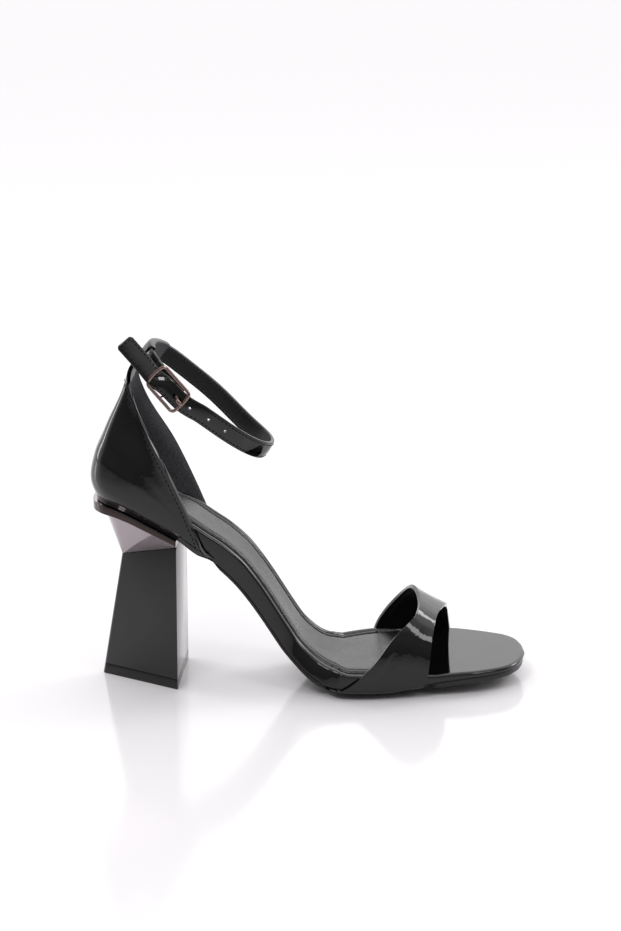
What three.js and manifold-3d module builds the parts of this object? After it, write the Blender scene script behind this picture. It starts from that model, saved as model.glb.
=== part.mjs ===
// A right-foot ankle-strap sandal on a block heel, in millimetres.
// X runs to the toe, Y to the big-toe side and Z up. The origin is the middle of the heel tip's face.
import * as THREE from 'three';
import { mergeVertices } from 'three/addons/utils/BufferGeometryUtils.js';
import Module from 'manifold-3d';

const { clamp, degToRad, lerp, smoothstep } = THREE.MathUtils;

const wasm = await Module();
wasm.setup();

// Clearance between pieces that meet
const gap = 0.3;

// Sole
const soleLength = 210.8;
const seatHeight = 77;
const ballWidth = 76;
const seatWidth = 42.6;
const toeSwing = degToRad(8);
const swingStart = 50;
const swingEnd = 116;
const toeSpring = 5.4;
const soleDish = 2.3;
const waistPly = 1.2;
const treadPly = 2.5;
const plyStart = 64;
const plyEnd = 92;
const boardEdge = 6;
const beadHeight = 2.4;
const beadWidth = 5.2;
const soleInset = 0.9;
const treadRound = 0.5;
const treadTipRound = 0.2;
const tuckRamp = 5;
const boardRoll = 1.1;
const boardUnderRoll = 0.8;
const narrowHalf = 6;

// Seat, the round back of the sole
const seatRoundStart = -2;
const seatBack = -26.3;
const seatSquareness = 2.6;

// Footbed
const sockThickness = 2.5;
const sockBevel = 1.6;
const sockEnd = 130;
const sockTaper = 1.5;

// Heel
const blockWidth = 47;
const blockLength = 40;
const blockTopLength = 29.6;
const blockCorner = 2.2;
const tipHeight = 5.2;
const collarFront = 3.4;
const collarDrop = 10.5;
const rimFront = 2.6;
const rimBack = 4.2;
const rimProud = 1;
const ledgeBack = 5.5;
const ledgeSide = 0.8;
const ledgeStart = 10;
const ledgeFall = 0.3;
const rimClearance = 0.15;

// Counter
const counterWall = 2;
const counterEnd = 29.5;
const counterHeight = 66.3;
const counterBulge = 6;
const lastingMargin = 5;
const lastingPly = 1;
const counterTurn = 0.45;
const counterTurnLift = 0.15;

// Toe band
const bandWall = 2;
const bandRise = 31.8;
const bandFall = 9;
const bandTuck = 3;
const bandLastingPly = 1.4;
const bandClearance = 0.54;
const bandTuckRoom = 0.4;
const bandEndDrop = 0.35;
const bandTurn = 0.3;
const bandTurnDrop = 0.1;
const bandFootFlare = 0.1;
const bandFootRise = 1.4;

// Ankle strap
const strapWidth = 9.2;
const strapPly = 2;
const ringLength = 60;
const ringWidth = 48;
const ringBack = -3.2;
const ringRise = 73.33;
const ringDrop = 48.8;
const strapLean = degToRad(33.5);
const layerSpread = 4;
const tailLength = 32.2;
const holeDiameter = 2;
const holePitch = 10.2;
const holeCount = 3;
const underEnd = 5;
const underNear = 6;
const underFar = 11;
const overStart = 8.5;
const overNear = 3;
const tailNear = 4;
const tailFar = 14;
const loopLength = 17;
const loopWall = 1.2;

// Buckle
const buckleX = 10.9;
const buckleRise = 59.03;
const buckleFall = degToRad(43);
const buckleYaw = degToRad(21);
const wire = 1.4;
const buckleLength = 19.8;
const buckleCorner = 1.5;
const prongWire = 1.1;
const prongHole = 2.6;
const prongHoleRoom = 1;
const prongHoleStretch = 2.2;
const prongStart = 0.9;
const prongLift = 0.9;
const prongStep = 2.2;
const prongEase = 0.7;
const prongOver = 0.4;
const prongTipDrop = 0.1;
const frameRoom = 0.1;
const frameBow = 0.5;

// Where the heel's triangle sits, so that its middle is the origin
const breastX = blockLength / 3;

// Sections along the sole. at: share of the sole's length from its back. rise: share of the seat's
// height. spring: share of the toe spring. lateral and medial: shares of the ball width, from the
// centreline. core: share of the board's edge. bead and dish: shares of the bead and of the dish.
const SOLE = [
  { at: 0.000, rise: 1.210, spring: 0.00, lateral: 0.280, medial: 0.280, core: 0.90, bead: 0.4, dish: 0.0 },
  { at: 0.040, rise: 1.197, spring: 0.00, lateral: 0.280, medial: 0.280, core: 0.90, bead: 0.4, dish: 0.0 },
  { at: 0.075, rise: 1.166, spring: 0.00, lateral: 0.280, medial: 0.280, core: 0.95, bead: 0.4, dish: 0.0 },
  { at: 0.113, rise: 1.113, spring: 0.00, lateral: 0.280, medial: 0.280, core: 1.00, bead: 0.4, dish: 0.0 },
  { at: 0.150, rise: 1.059, spring: 0.00, lateral: 0.280, medial: 0.280, core: 1.05, bead: 0.6, dish: 0.0 },
  { at: 0.188, rise: 1.000, spring: 0.00, lateral: 0.280, medial: 0.280, core: 1.10, bead: 0.9, dish: 0.0 },
  { at: 0.225, rise: 0.921, spring: 0.00, lateral: 0.279, medial: 0.279, core: 1.20, bead: 1.0, dish: 0.0 },
  { at: 0.263, rise: 0.843, spring: 0.00, lateral: 0.276, medial: 0.277, core: 1.26, bead: 1.0, dish: 0.1 },
  { at: 0.298, rise: 0.756, spring: 0.00, lateral: 0.271, medial: 0.277, core: 1.25, bead: 1.0, dish: 0.2 },
  { at: 0.324, rise: 0.682, spring: 0.00, lateral: 0.268, medial: 0.279, core: 1.13, bead: 1.0, dish: 0.2 },
  { at: 0.350, rise: 0.592, spring: 0.00, lateral: 0.267, medial: 0.283, core: 1.03, bead: 1.0, dish: 0.2 },
  { at: 0.376, rise: 0.491, spring: 0.00, lateral: 0.268, medial: 0.287, core: 0.95, bead: 1.0, dish: 0.2 },
  { at: 0.402, rise: 0.378, spring: 0.00, lateral: 0.275, medial: 0.292, core: 0.91, bead: 1.0, dish: 0.3 },
  { at: 0.428, rise: 0.271, spring: 0.00, lateral: 0.289, medial: 0.303, core: 0.91, bead: 1.0, dish: 0.3 },
  { at: 0.452, rise: 0.190, spring: 0.00, lateral: 0.316, medial: 0.318, core: 0.93, bead: 1.0, dish: 0.4 },
  { at: 0.485, rise: 0.099, spring: 0.00, lateral: 0.362, medial: 0.345, core: 1.01, bead: 1.0, dish: 0.5 },
  { at: 0.518, rise: 0.037, spring: 0.00, lateral: 0.404, medial: 0.372, core: 1.13, bead: 1.0, dish: 0.6 },
  { at: 0.547, rise: 0.008, spring: 0.00, lateral: 0.432, medial: 0.397, core: 1.05, bead: 1.0, dish: 0.7 },
  { at: 0.575, rise: 0.000, spring: 0.00, lateral: 0.447, medial: 0.432, core: 0.94, bead: 1.0, dish: 0.7 },
  { at: 0.623, rise: 0.000, spring: 0.00, lateral: 0.453, medial: 0.487, core: 0.92, bead: 1.0, dish: 0.7 },
  { at: 0.661, rise: 0.000, spring: 0.00, lateral: 0.449, medial: 0.520, core: 0.86, bead: 1.0, dish: 0.75 },
  { at: 0.699, rise: 0.000, spring: 0.16, lateral: 0.442, medial: 0.529, core: 0.80, bead: 0.9, dish: 0.8 },
  { at: 0.741, rise: 0.000, spring: 0.32, lateral: 0.434, medial: 0.529, core: 0.72, bead: 0.4, dish: 0.85 },
  { at: 0.779, rise: 0.000, spring: 0.46, lateral: 0.429, medial: 0.524, core: 0.66, bead: 0.0, dish: 0.9 },
  { at: 0.817, rise: 0.000, spring: 0.60, lateral: 0.421, medial: 0.512, core: 0.60, bead: 0.0, dish: 0.95 },
  { at: 0.860, rise: 0.000, spring: 0.72, lateral: 0.408, medial: 0.480, core: 0.50, bead: 0.0, dish: 1.0 },
  { at: 0.898, rise: 0.000, spring: 0.80, lateral: 0.376, medial: 0.438, core: 0.43, bead: 0.0, dish: 1.0 },
  { at: 0.931, rise: 0.000, spring: 0.85, lateral: 0.322, medial: 0.389, core: 0.40, bead: 0.0, dish: 1.0 },
  { at: 0.957, rise: 0.000, spring: 0.89, lateral: 0.250, medial: 0.345, core: 0.38, bead: 0.0, dish: 1.0 },
  { at: 0.976, rise: 0.000, spring: 0.93, lateral: 0.158, medial: 0.300, core: 0.38, bead: 0.0, dish: 0.9 },
  { at: 0.990, rise: 0.000, spring: 0.97, lateral: 0.059, medial: 0.243, core: 0.38, bead: 0.0, dish: 0.8 },
  { at: 0.997, rise: 0.000, spring: 0.99, lateral: -0.013, medial: 0.171, core: 0.38, bead: 0.0, dish: 0.7 },
  { at: 1.000, rise: 0.000, spring: 1.00, lateral: -0.046, medial: 0.112, core: 0.36, bead: 0.0, dish: 0.6 },
];

// Ribs of the counter from its front corner to the middle of the back. foot: share of the way from
// the front corner back to where the seat rounds, and past 1 the share of the quarter turn round
// the back. topX, topY: shares of the way back and of the seat's half width. top: share of the
// height over the seat's back. bulge: share of the bulge.
const COUNTER = [
  { foot: 0.00, topX: 0.045, topY: 1.105, top: -0.353, bulge: 0.00 },
  { foot: 0.07, topX: 0.077, topY: 1.125, top: -0.312, bulge: 0.02 },
  { foot: 0.16, topX: 0.104, topY: 1.150, top: -0.237, bulge: 0.06 },
  { foot: 0.28, topX: 0.147, topY: 1.165, top: -0.124, bulge: 0.12 },
  { foot: 0.46, topX: 0.215, topY: 1.165, top: 0.020, bulge: 0.18 },
  { foot: 0.68, topX: 0.341, topY: 1.145, top: 0.255, bulge: 0.25 },
  { foot: 0.90, topX: 0.433, topY: 1.085, top: 0.405, bulge: 0.34 },
  { foot: 1.16, topX: 0.534, topY: 0.950, top: 0.555, bulge: 0.48 },
  { foot: 1.38, topX: 0.622, topY: 0.805, top: 0.707, bulge: 0.66 },
  { foot: 1.56, topX: 0.682, topY: 0.725, top: 0.855, bulge: 0.82 },
  { foot: 1.70, topX: 0.709, topY: 0.610, top: 0.963, bulge: 0.92 },
  { foot: 1.80, topX: 0.694, topY: 0.420, top: 1.000, bulge: 0.97 },
  { foot: 1.88, topX: 0.650, topY: 0.345, top: 1.044, bulge: 0.99 },
  { foot: 2.00, topX: 0.650, topY: 0.000, top: 1.060, bulge: 1.00 },
];

// Outward swell of a rib. up: share of the rib's height. out: share of the bulge.
const SWELL = [
  { up: 0.00, out: 0.00 },
  { up: 0.06, out: 0.45 },
  { up: 0.13, out: 0.80 },
  { up: 0.22, out: 0.97 },
  { up: 0.32, out: 1.00 },
  { up: 0.44, out: 0.82 },
  { up: 0.56, out: 0.64 },
  { up: 0.68, out: 0.38 },
  { up: 0.80, out: 0.14 },
  { up: 0.90, out: 0.03 },
  { up: 1.00, out: 0.00 },
];

// Lines over the toes. across: share of the half width over the board. up: share of the rise.
// rear and front: the band's two edges, shares of the sole's length.
const BAND = [
  { across: -1.00, up: 0.00, rear: 0.600, front: 0.765 },
  { across: -0.985, up: 0.26, rear: 0.640, front: 0.772 },
  { across: -0.92, up: 0.52, rear: 0.690, front: 0.777 },
  { across: -0.80, up: 0.73, rear: 0.733, front: 0.782 },
  { across: -0.60, up: 0.88, rear: 0.752, front: 0.787 },
  { across: -0.32, up: 0.97, rear: 0.759, front: 0.797 },
  { across: 0.00, up: 1.00, rear: 0.760, front: 0.808 },
  { across: 0.30, up: 0.93, rear: 0.754, front: 0.815 },
  { across: 0.56, up: 0.76, rear: 0.744, front: 0.821 },
  { across: 0.78, up: 0.52, rear: 0.726, front: 0.826 },
  { across: 0.93, up: 0.25, rear: 0.694, front: 0.830 },
  { across: 1.00, up: 0.00, rear: 0.660, front: 0.834 },
];
const bandRearLateral = 0.522;
const bandRearMedial = 0.650;
const bandFrontLateral = 0.742;

// Fall of the ankle ring. at: share of the ring's length from its back. lateral and medial: shares
// of its drop, down its two sides.
const RING = [
  { at: 0.00, lateral: 0.000, medial: 0.000 },
  { at: 0.06, lateral: 0.085, medial: 0.050 },
  { at: 0.13, lateral: 0.175, medial: 0.110 },
  { at: 0.21, lateral: 0.262, medial: 0.218 },
  { at: 0.30, lateral: 0.340, medial: 0.320 },
  { at: 0.45, lateral: 0.482, medial: 0.477 },
  { at: 0.62, lateral: 0.640, medial: 0.668 },
  { at: 0.80, lateral: 0.812, medial: 0.870 },
  { at: 1.00, lateral: 1.000, medial: 1.000 },
];

// Smooth reading of one column of a table, without overshoot between the rows
function reader(table, key, column) {
  const x = table.map((row) => row[key]);
  const y = table.map((row) => row[column]);
  const count = x.length;
  const chord = [];
  for (let i = 0; i < count - 1; i += 1) {
    chord.push((y[i + 1] - y[i]) / (x[i + 1] - x[i]));
  }
  const slope = y.map((value, i) => {
    const before = chord[Math.max(i - 1, 0)];
    const after = chord[Math.min(i, count - 2)];
    if (before * after <= 0) {
      return 0;
    }
    return (2 * before * after) / (before + after);
  });
  return (at) => {
    const clamped = clamp(at, x[0], x[count - 1]);
    let i = 0;
    while (i < count - 2 && clamped > x[i + 1]) {
      i += 1;
    }
    const step = x[i + 1] - x[i];
    const t = (clamped - x[i]) / step;
    const rest = 1 - t;
    const ends = y[i] * rest * rest * (1 + 2 * t) + y[i + 1] * t * t * (1 + 2 * rest);
    return ends + step * t * rest * (slope[i] * rest - slope[i + 1] * t);
  };
}

const sole = Object.fromEntries(
  ['rise', 'spring', 'lateral', 'medial', 'core', 'bead', 'dish'].map((column) => [
    column,
    reader(SOLE, 'at', column),
  ]),
);

const share = (s) => (s - seatBack) / soleLength;
const alongOf = (at) => seatBack + at * soleLength;

// Centreline in plan: straight under heel and waist, then swung to the big-toe side
function swingAt(s) {
  return toeSwing * smoothstep(s, swingStart, swingEnd);
}

const planStep = 0.5;
const planPath = [new THREE.Vector2(alongOf(-0.05), 0)];
for (let s = alongOf(-0.05); s < alongOf(1.02); s += planStep) {
  const turn = swingAt(s + planStep / 2);
  const last = planPath[planPath.length - 1];
  planPath.push(new THREE.Vector2(last.x + planStep * Math.cos(turn), last.y + planStep * Math.sin(turn)));
}

function planAt(s) {
  const steps = (s - alongOf(-0.05)) / planStep;
  const i = clamp(Math.floor(steps), 0, planPath.length - 2);
  return planPath[i].clone().lerp(planPath[i + 1], steps - i);
}

// Height of the sole's outer bottom line at its middle
function bottomAt(s) {
  const at = share(s);
  return seatHeight * sole.rise(at) + toeSpring * sole.spring(at);
}

// Height of the underside at the very back, from which the counter and the strap rise
const seatTop = bottomAt(seatBack);

// Point of the sole: along its centreline, across it, and up from its bottom line
function onSole(s, across, up) {
  const centre = planAt(s);
  const turn = swingAt(s);
  const pitch = Math.atan2(bottomAt(s + 1) - bottomAt(s - 1), 2);
  const lift = -Math.sin(pitch) * up;
  return new THREE.Vector3(
    centre.x - Math.sin(turn) * across + Math.cos(turn) * lift,
    centre.y + Math.cos(turn) * across + Math.sin(turn) * lift,
    bottomAt(s) + Math.cos(pitch) * up,
  );
}

// Half width of the seat where it rounds to its back
function seatShare(s) {
  const back = clamp((seatRoundStart - s) / (seatRoundStart - seatBack), 0, 1);
  return Math.pow(1 - Math.pow(back, seatSquareness), 1 / seatSquareness);
}

// The board's two edges, measured across from the centreline
function edges(s) {
  const at = share(s);
  const round = seatShare(s);
  const wide = s > breastX ? ballWidth : seatWidth / 2 / sole.lateral(share(breastX));
  return { lateral: -wide * sole.lateral(at) * round, medial: wide * sole.medial(at) * round };
}

const plyAt = (s) => lerp(waistPly, treadPly, smoothstep(s, plyStart, plyEnd));
const boardBottom = (s) => plyAt(s) + gap;
const boardFloor = (s) => boardBottom(s) + soleDish * sole.dish(share(s)) + boardEdge * sole.core(share(s));
const beadTop = (s) => boardFloor(s) + beadHeight * sole.bead(share(s));

// Rise of the dished underside towards its edges; the middle is flat
const flatShare = 0.36;
function dishAt(s, side) {
  const out = Math.max(0, (Math.abs(side) - flatShare) / (1 - flatShare));
  return soleDish * sole.dish(share(s)) * out * out;
}

// A closed solid from a grid of paired points: outer and inner skin, their edges and ends
function sheet(rows, closed = false) {
  const columns = rows[0].outer.length;
  const positions = [];
  rows.forEach((row) => {
    row.outer.forEach((point) => positions.push(point.x, point.y, point.z));
    row.inner.forEach((point) => positions.push(point.x, point.y, point.z));
  });
  const outer = (i, k) => (i % rows.length) * 2 * columns + k;
  const inner = (i, k) => outer(i, k) + columns;
  const index = [];
  const quad = (a, b, c, d) => index.push(a, b, c, a, c, d);
  const last = closed ? rows.length : rows.length - 1;
  for (let i = 0; i < last; i += 1) {
    for (let k = 0; k < columns - 1; k += 1) {
      quad(outer(i, k), outer(i + 1, k), outer(i + 1, k + 1), outer(i, k + 1));
      quad(inner(i, k), inner(i, k + 1), inner(i + 1, k + 1), inner(i + 1, k));
    }
    quad(outer(i, 0), inner(i, 0), inner(i + 1, 0), outer(i + 1, 0));
    const end = columns - 1;
    quad(outer(i, end), outer(i + 1, end), inner(i + 1, end), inner(i, end));
  }
  if (!closed) {
    for (let k = 0; k < columns - 1; k += 1) {
      quad(outer(0, k), outer(0, k + 1), inner(0, k + 1), inner(0, k));
      quad(outer(last, k), inner(last, k), inner(last, k + 1), outer(last, k + 1));
    }
  }
  return facingOut(positions, index);
}

// A closed solid through rings of points; each ring pairs its first point with its last for the ends
function loft(rings) {
  const count = rings[0].length;
  const positions = [];
  rings.forEach((ring) => ring.forEach((point) => positions.push(point.x, point.y, point.z)));
  const index = [];
  const quad = (a, b, c, d) => index.push(a, b, c, a, c, d);
  for (let i = 0; i < rings.length - 1; i += 1) {
    for (let j = 0; j < count; j += 1) {
      const next = (j + 1) % count;
      quad(i * count + j, i * count + next, (i + 1) * count + next, (i + 1) * count + j);
    }
  }
  const top = (rings.length - 1) * count;
  for (let j = 0; j < Math.floor(count / 2) - 1; j += 1) {
    const mate = count - 1 - j;
    quad(j, mate, mate - 1, j + 1);
    quad(top + j, top + j + 1, top + mate - 1, top + mate);
  }
  if (count % 2 === 1) {
    const mid = Math.floor(count / 2);
    index.push(mid - 1, mid + 1, mid);
    index.push(top + mid - 1, top + mid, top + mid + 1);
  }
  return facingOut(positions, index);
}

function facingOut(positions, index) {
  let volume = 0;
  const corner = (i) => new THREE.Vector3().fromArray(positions, 3 * i);
  for (let i = 0; i < index.length; i += 3) {
    volume += corner(index[i]).dot(corner(index[i + 1]).cross(corner(index[i + 2])));
  }
  if (volume < 0) {
    for (let i = 0; i < index.length; i += 3) {
      [index[i], index[i + 1]] = [index[i + 1], index[i]];
    }
  }
  const geometry = new THREE.BufferGeometry();
  geometry.setAttribute('position', new THREE.Float32BufferAttribute(positions, 3));
  geometry.setIndex(index);
  return geometry;
}

// Outer and inner skins half a wall to either side of a grid of middle points
function thicken(grid, wallAt) {
  const normalAt = (i, k) => {
    const before = grid[Math.max(i - 1, 0)][k];
    const after = grid[Math.min(i + 1, grid.length - 1)][k];
    const left = grid[i][Math.max(k - 1, 0)];
    const right = grid[i][Math.min(k + 1, grid[i].length - 1)];
    const alongRows = after.clone().sub(before);
    return alongRows.cross(right.clone().sub(left)).normalize();
  };
  return grid.map((row, i) => ({
    outer: row.map((point, k) => point.clone().addScaledVector(normalAt(i, k), wallAt(i, k) / 2)),
    inner: row.map((point, k) => point.clone().addScaledVector(normalAt(i, k), -wallAt(i, k) / 2)),
  }));
}

// Boolean work on closed geometries
function toSolid(geometry) {
  const bare = geometry.clone();
  bare.deleteAttribute('normal');
  bare.deleteAttribute('uv');
  const merged = mergeVertices(bare, 1e-4);
  return new wasm.Manifold(new wasm.Mesh({
    numProp: 3,
    vertProperties: new Float32Array(merged.attributes.position.array),
    triVerts: new Uint32Array(merged.index.array),
  }));
}

function toGeometry(solid) {
  const mesh = solid.getMesh();
  const geometry = new THREE.BufferGeometry();
  geometry.setAttribute('position', new THREE.BufferAttribute(new Float32Array(mesh.vertProperties), 3));
  geometry.setIndex(new THREE.BufferAttribute(new Uint32Array(mesh.triVerts), 1));
  return geometry;
}

// Stations of the sole: round the seat's back, then one or two to each row of the table
const seatTurns = [85, 76, 66, 55, 42, 26].map((angle) => degToRad(angle));
const seatStations = seatTurns.map((turn) => (
  seatRoundStart - (seatRoundStart - seatBack) * Math.pow(Math.sin(turn), 2 / seatSquareness)
));
const rowStations = SOLE.map((row) => alongOf(row.at)).filter((s) => s > seatRoundStart + 1);
const stations = [...seatStations, seatRoundStart, ...rowStations];

// Tread sole, from the breast to the toe, clear of the upper's turned-in margins
function tuckedAt(s, start, end) {
  const inside = smoothstep(s, start - tuckRamp, start);
  return inside * (1 - smoothstep(s, end, end + tuckRamp));
}

function outsoleEdges(s) {
  const edge = edges(s);
  const margin = (lastingMargin + gap - soleInset) * tuckedAt(s, alongOf(0), counterEnd);
  const lateralBand = tuckedAt(s, alongOf(bandRearLateral), alongOf(BAND[0].front));
  const medialBand = tuckedAt(s, alongOf(bandRearMedial), alongOf(BAND[BAND.length - 1].front));
  const tuck = bandTuck + gap + bandTuckRoom;
  return {
    lateral: edge.lateral + soleInset + margin + tuck * lateralBand,
    medial: edge.medial - soleInset - margin - tuck * medialBand,
  };
}

function makeOutsole() {
  const sides = [-1, -0.9, -0.72, -flatShare, 0, flatShare, 0.72, 0.9, 1];
  const first = breastX + gap;
  const last = alongOf(1) - soleInset;
  const kept = stations.filter((s) => s > first + 1 && s < last - 0.4);
  const rows = [first, ...kept, last].map((s) => {
    const edge = outsoleEdges(s);
    const middle = (edge.lateral + edge.medial) / 2;
    const half = (edge.medial - edge.lateral) / 2;
    const soft = half > narrowHalf ? treadRound : treadTipRound;
    const board = edges(s);
    const dish = (side) => {
      const fromMiddle = middle + half * side - (board.lateral + board.medial) / 2;
      return dishAt(s, (2 * fromMiddle) / (board.medial - board.lateral));
    };
    return {
      outer: sides.map((side) => onSole(s, middle + half * side - Math.trunc(side) * soft, dish(side))),
      inner: sides.map((side) => onSole(s, middle + half * side, dish(side) + plyAt(s))),
    };
  });
  return sheet(rows);
}

// Wrapped board: dished underside, upright edge, raised bead and a recess for the footbed
function makeBoard() {
  const sides = [-1, -0.94, -0.72, -flatShare, 0, flatShare, 0.72, 0.94, 1];
  const rings = stations.map((s) => {
    const edge = edges(s);
    const middle = (edge.lateral + edge.medial) / 2;
    const half = (edge.medial - edge.lateral) / 2;
    const fit = Math.min(1, half / (1.6 * beadWidth));
    const top = beadTop(s);
    const floor = boardFloor(s);
    const foot = boardBottom(s) + soleDish * sole.dish(share(s));
    const roll = Math.min(boardRoll, (top - foot) / 3);
    const ring = sides.map((side) => {
      const lifted = Math.abs(side) === 1 ? Math.min(boardUnderRoll, (top - foot) / 4) : 0;
      return onSole(s, middle + half * side, boardBottom(s) + dishAt(s, side) + lifted);
    });
    const crest = [
      { back: 0, up: top - roll },
      { back: 0.16, up: top - 0.25 * roll },
      { back: 0.42, up: top },
      { back: 0.78, up: lerp(floor, top, 0.72) },
      { back: 1, up: floor },
    ];
    crest.forEach((step) => ring.push(onSole(s, middle + half - step.back * beadWidth * fit, step.up)));
    crest.reverse();
    crest.forEach((step) => ring.push(onSole(s, middle - half + step.back * beadWidth * fit, step.up)));
    return ring;
  });
  return ringSolid(rings);
}

// A closed solid through station rings, its two ends closed flat
function ringSolid(rings) {
  const count = rings[0].length;
  const positions = [];
  rings.forEach((ring) => ring.forEach((point) => positions.push(point.x, point.y, point.z)));
  const index = [];
  for (let i = 0; i < rings.length - 1; i += 1) {
    for (let j = 0; j < count; j += 1) {
      const next = (j + 1) % count;
      const a = i * count + j;
      const b = i * count + next;
      index.push(a, b, b + count, a, b + count, a + count);
    }
  }
  const flat = rings[0].map((point) => new THREE.Vector2(point.y, point.z));
  THREE.ShapeUtils.triangulateShape(flat, []).forEach(([a, b, c]) => index.push(c, b, a));
  const end = (rings.length - 1) * count;
  const flatEnd = rings[rings.length - 1].map((point) => new THREE.Vector2(point.y, point.z));
  THREE.ShapeUtils.triangulateShape(flatEnd, []).forEach((corners) => {
    index.push(...corners.map((corner) => end + corner));
  });
  return facingOut(positions, index);
}

// Padded footbed in the board's recess, its rim bevelled into the groove
function makeSock() {
  const first = alongOf(0.02);
  const kept = stations.filter((s) => s > first + 0.5 && s < sockEnd - 2);
  const rows = [first, ...kept, sockEnd - sockTaper, sockEnd].map((s, i, all) => {
    const edge = edges(s);
    const fromEnd = Math.min(i, all.length - 1 - i);
    const thin = fromEnd === 0 ? 0.35 : 1;
    const side = beadWidth * Math.min(1, (edge.medial - edge.lateral) / (3.2 * beadWidth)) + gap;
    const lateral = edge.lateral + side;
    const medial = edge.medial - side;
    const middle = (lateral + medial) / 2;
    const half = (medial - lateral) / 2;
    const base = boardFloor(s) + gap;
    const lines = [
      { at: 1, up: 0.35 },
      { at: 1 - sockBevel / half, up: 0.95 },
      { at: 0.68, up: 1 },
      { at: 0.34, up: 0.92 },
      { at: 0, up: 0.88 },
      { at: -0.34, up: 0.92 },
      { at: -0.68, up: 1 },
      { at: -1 + sockBevel / half, up: 0.95 },
      { at: -1, up: 0.35 },
    ];
    return {
      outer: lines.map((line) => onSole(s, middle + half * line.at, base + sockThickness * line.up * thin)),
      inner: lines.map((line) => onSole(s, middle + half * line.at, base)),
    };
  });
  return sheet(rows);
}

// Three-sided plan of the heel: two front corners and a small round at the back, as paired points
function heelPlan(length, half, heightAt) {
  const front = breastX;
  const radius = blockCorner;
  const centre = front - length + radius;
  const toCentre = Math.hypot(front - centre, half);
  const turn = Math.atan2(half, front - centre) - Math.asin(radius / toCentre);
  const reach = Math.PI / 2 - turn;
  const lateral = [new THREE.Vector2(front, -half)];
  for (let i = 0; i <= 3; i += 1) {
    const angle = reach * (1 - i / 3);
    lateral.push(new THREE.Vector2(centre - radius * Math.cos(angle), -radius * Math.sin(angle)));
  }
  const medial = lateral.slice(0, -1).map((point) => new THREE.Vector2(point.x, -point.y)).reverse();
  return [...lateral, ...medial].map((point) => new THREE.Vector3(point.x, point.y, heightAt(point.x)));
}

const blockFrontTop = seatHeight - gap - collarFront;
const blockTopAt = (x) => blockFrontTop - collarDrop * ((breastX - x) / blockTopLength);

function lengthAtHeight(height) {
  const full = blockFrontTop - collarDrop;
  return lerp(blockLength, blockTopLength, height / full);
}

function makeTip() {
  const half = blockWidth / 2;
  return loft([
    heelPlan(blockLength, half, () => 0),
    heelPlan(lengthAtHeight(tipHeight - gap), half, () => tipHeight - gap),
  ]);
}

function makeBlock() {
  const half = blockWidth / 2;
  return loft([
    heelPlan(lengthAtHeight(tipHeight), half, () => tipHeight),
    heelPlan(blockTopLength, half, (x) => blockTopAt(x) - gap),
  ]);
}

// Outline of the seat in plan, pushed outward by a distance; turn 0 is where it starts to round
function seatOutline(turn, out) {
  const reach = seatRoundStart - seatBack;
  const half = seatWidth / 2;
  const x = -Math.pow(Math.sin(turn), 2 / seatSquareness);
  const y = Math.pow(Math.max(Math.cos(turn), 0), 2 / seatSquareness);
  const away = new THREE.Vector2(
    -Math.pow(-x, seatSquareness - 1) / reach,
    -Math.pow(y, seatSquareness - 1) / half,
  ).normalize();
  return new THREE.Vector2(seatRoundStart + x * reach + away.x * out, -y * half + away.y * out);
}

// Seat piece: an upright rim round the seat, cut down to the block's three sides
function makeCollar() {
  const out = gap + counterWall + rimProud;
  const turns = [0, 12, 24, 36, 48, 60, 70, 80, 90].map((angle) => degToRad(angle));
  const sidePoints = [breastX, breastX * 0.5, 0].map((x) => new THREE.Vector2(x, -seatWidth / 2 - out));
  const lateral = [...sidePoints, ...turns.map((turn) => seatOutline(turn, out))];
  const plan = [...lateral, ...lateral.slice(0, -1).reverse().map((p) => new THREE.Vector2(p.x, -p.y))];
  const foot = heelPlan(blockTopLength, blockWidth / 2, blockTopAt);
  const apexLateral = 4;
  const straight = sidePoints.length;
  const footRing = plan.map((point, j) => {
    const side = Math.min(j, plan.length - 1 - j);
    const mirrored = j > (plan.length - 1) / 2 ? -1 : 1;
    let mate;
    if (side <= straight) {
      mate = foot[0].clone().lerp(foot[1], side / straight);
    } else {
      const round = (side - straight) / (lateral.length - 1 - straight);
      const step = 1 + round * (apexLateral - 1);
      const low = Math.min(Math.floor(step), apexLateral - 1);
      mate = foot[low].clone().lerp(foot[low + 1], step - low);
    }
    return new THREE.Vector3(mate.x, mirrored * mate.y, mate.z);
  });
  const rimHeight = (x) => lerp(rimFront, rimBack, clamp((breastX - x) / blockLength, 0, 1));
  const level = (point) => bottomAt(Math.max(point.x, seatBack)) - gap - rimClearance;
  const rimLow = plan.map((point) => new THREE.Vector3(point.x, point.y, level(point) - rimHeight(point.x)));
  const rimHigh = plan.map((point) => new THREE.Vector3(point.x, point.y, level(point)));
  const ledge = plan.map((point, j) => {
    const inward = lerp(ledgeSide, ledgeBack, smoothstep(breastX - point.x, ledgeStart, blockLength));
    const away = point.clone().sub(new THREE.Vector2(breastX, 0)).normalize();
    const ease = point.x === breastX ? new THREE.Vector2(0, Math.sign(point.y)) : away;
    return new THREE.Vector3(point.x - ease.x * inward, point.y - ease.y * inward, rimLow[j].z - ledgeFall);
  });
  return loft([footRing, ledge, rimLow, rimHigh]);
}

// Closed back upper: margin turned in under the board, then ribs up to the topline
const swell = reader(SWELL, 'up', 'out');
const counter = Object.fromEntries(
  ['topX', 'topY', 'top', 'bulge'].map((column) => [column, reader(COUNTER, 'foot', column)]),
);

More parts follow.
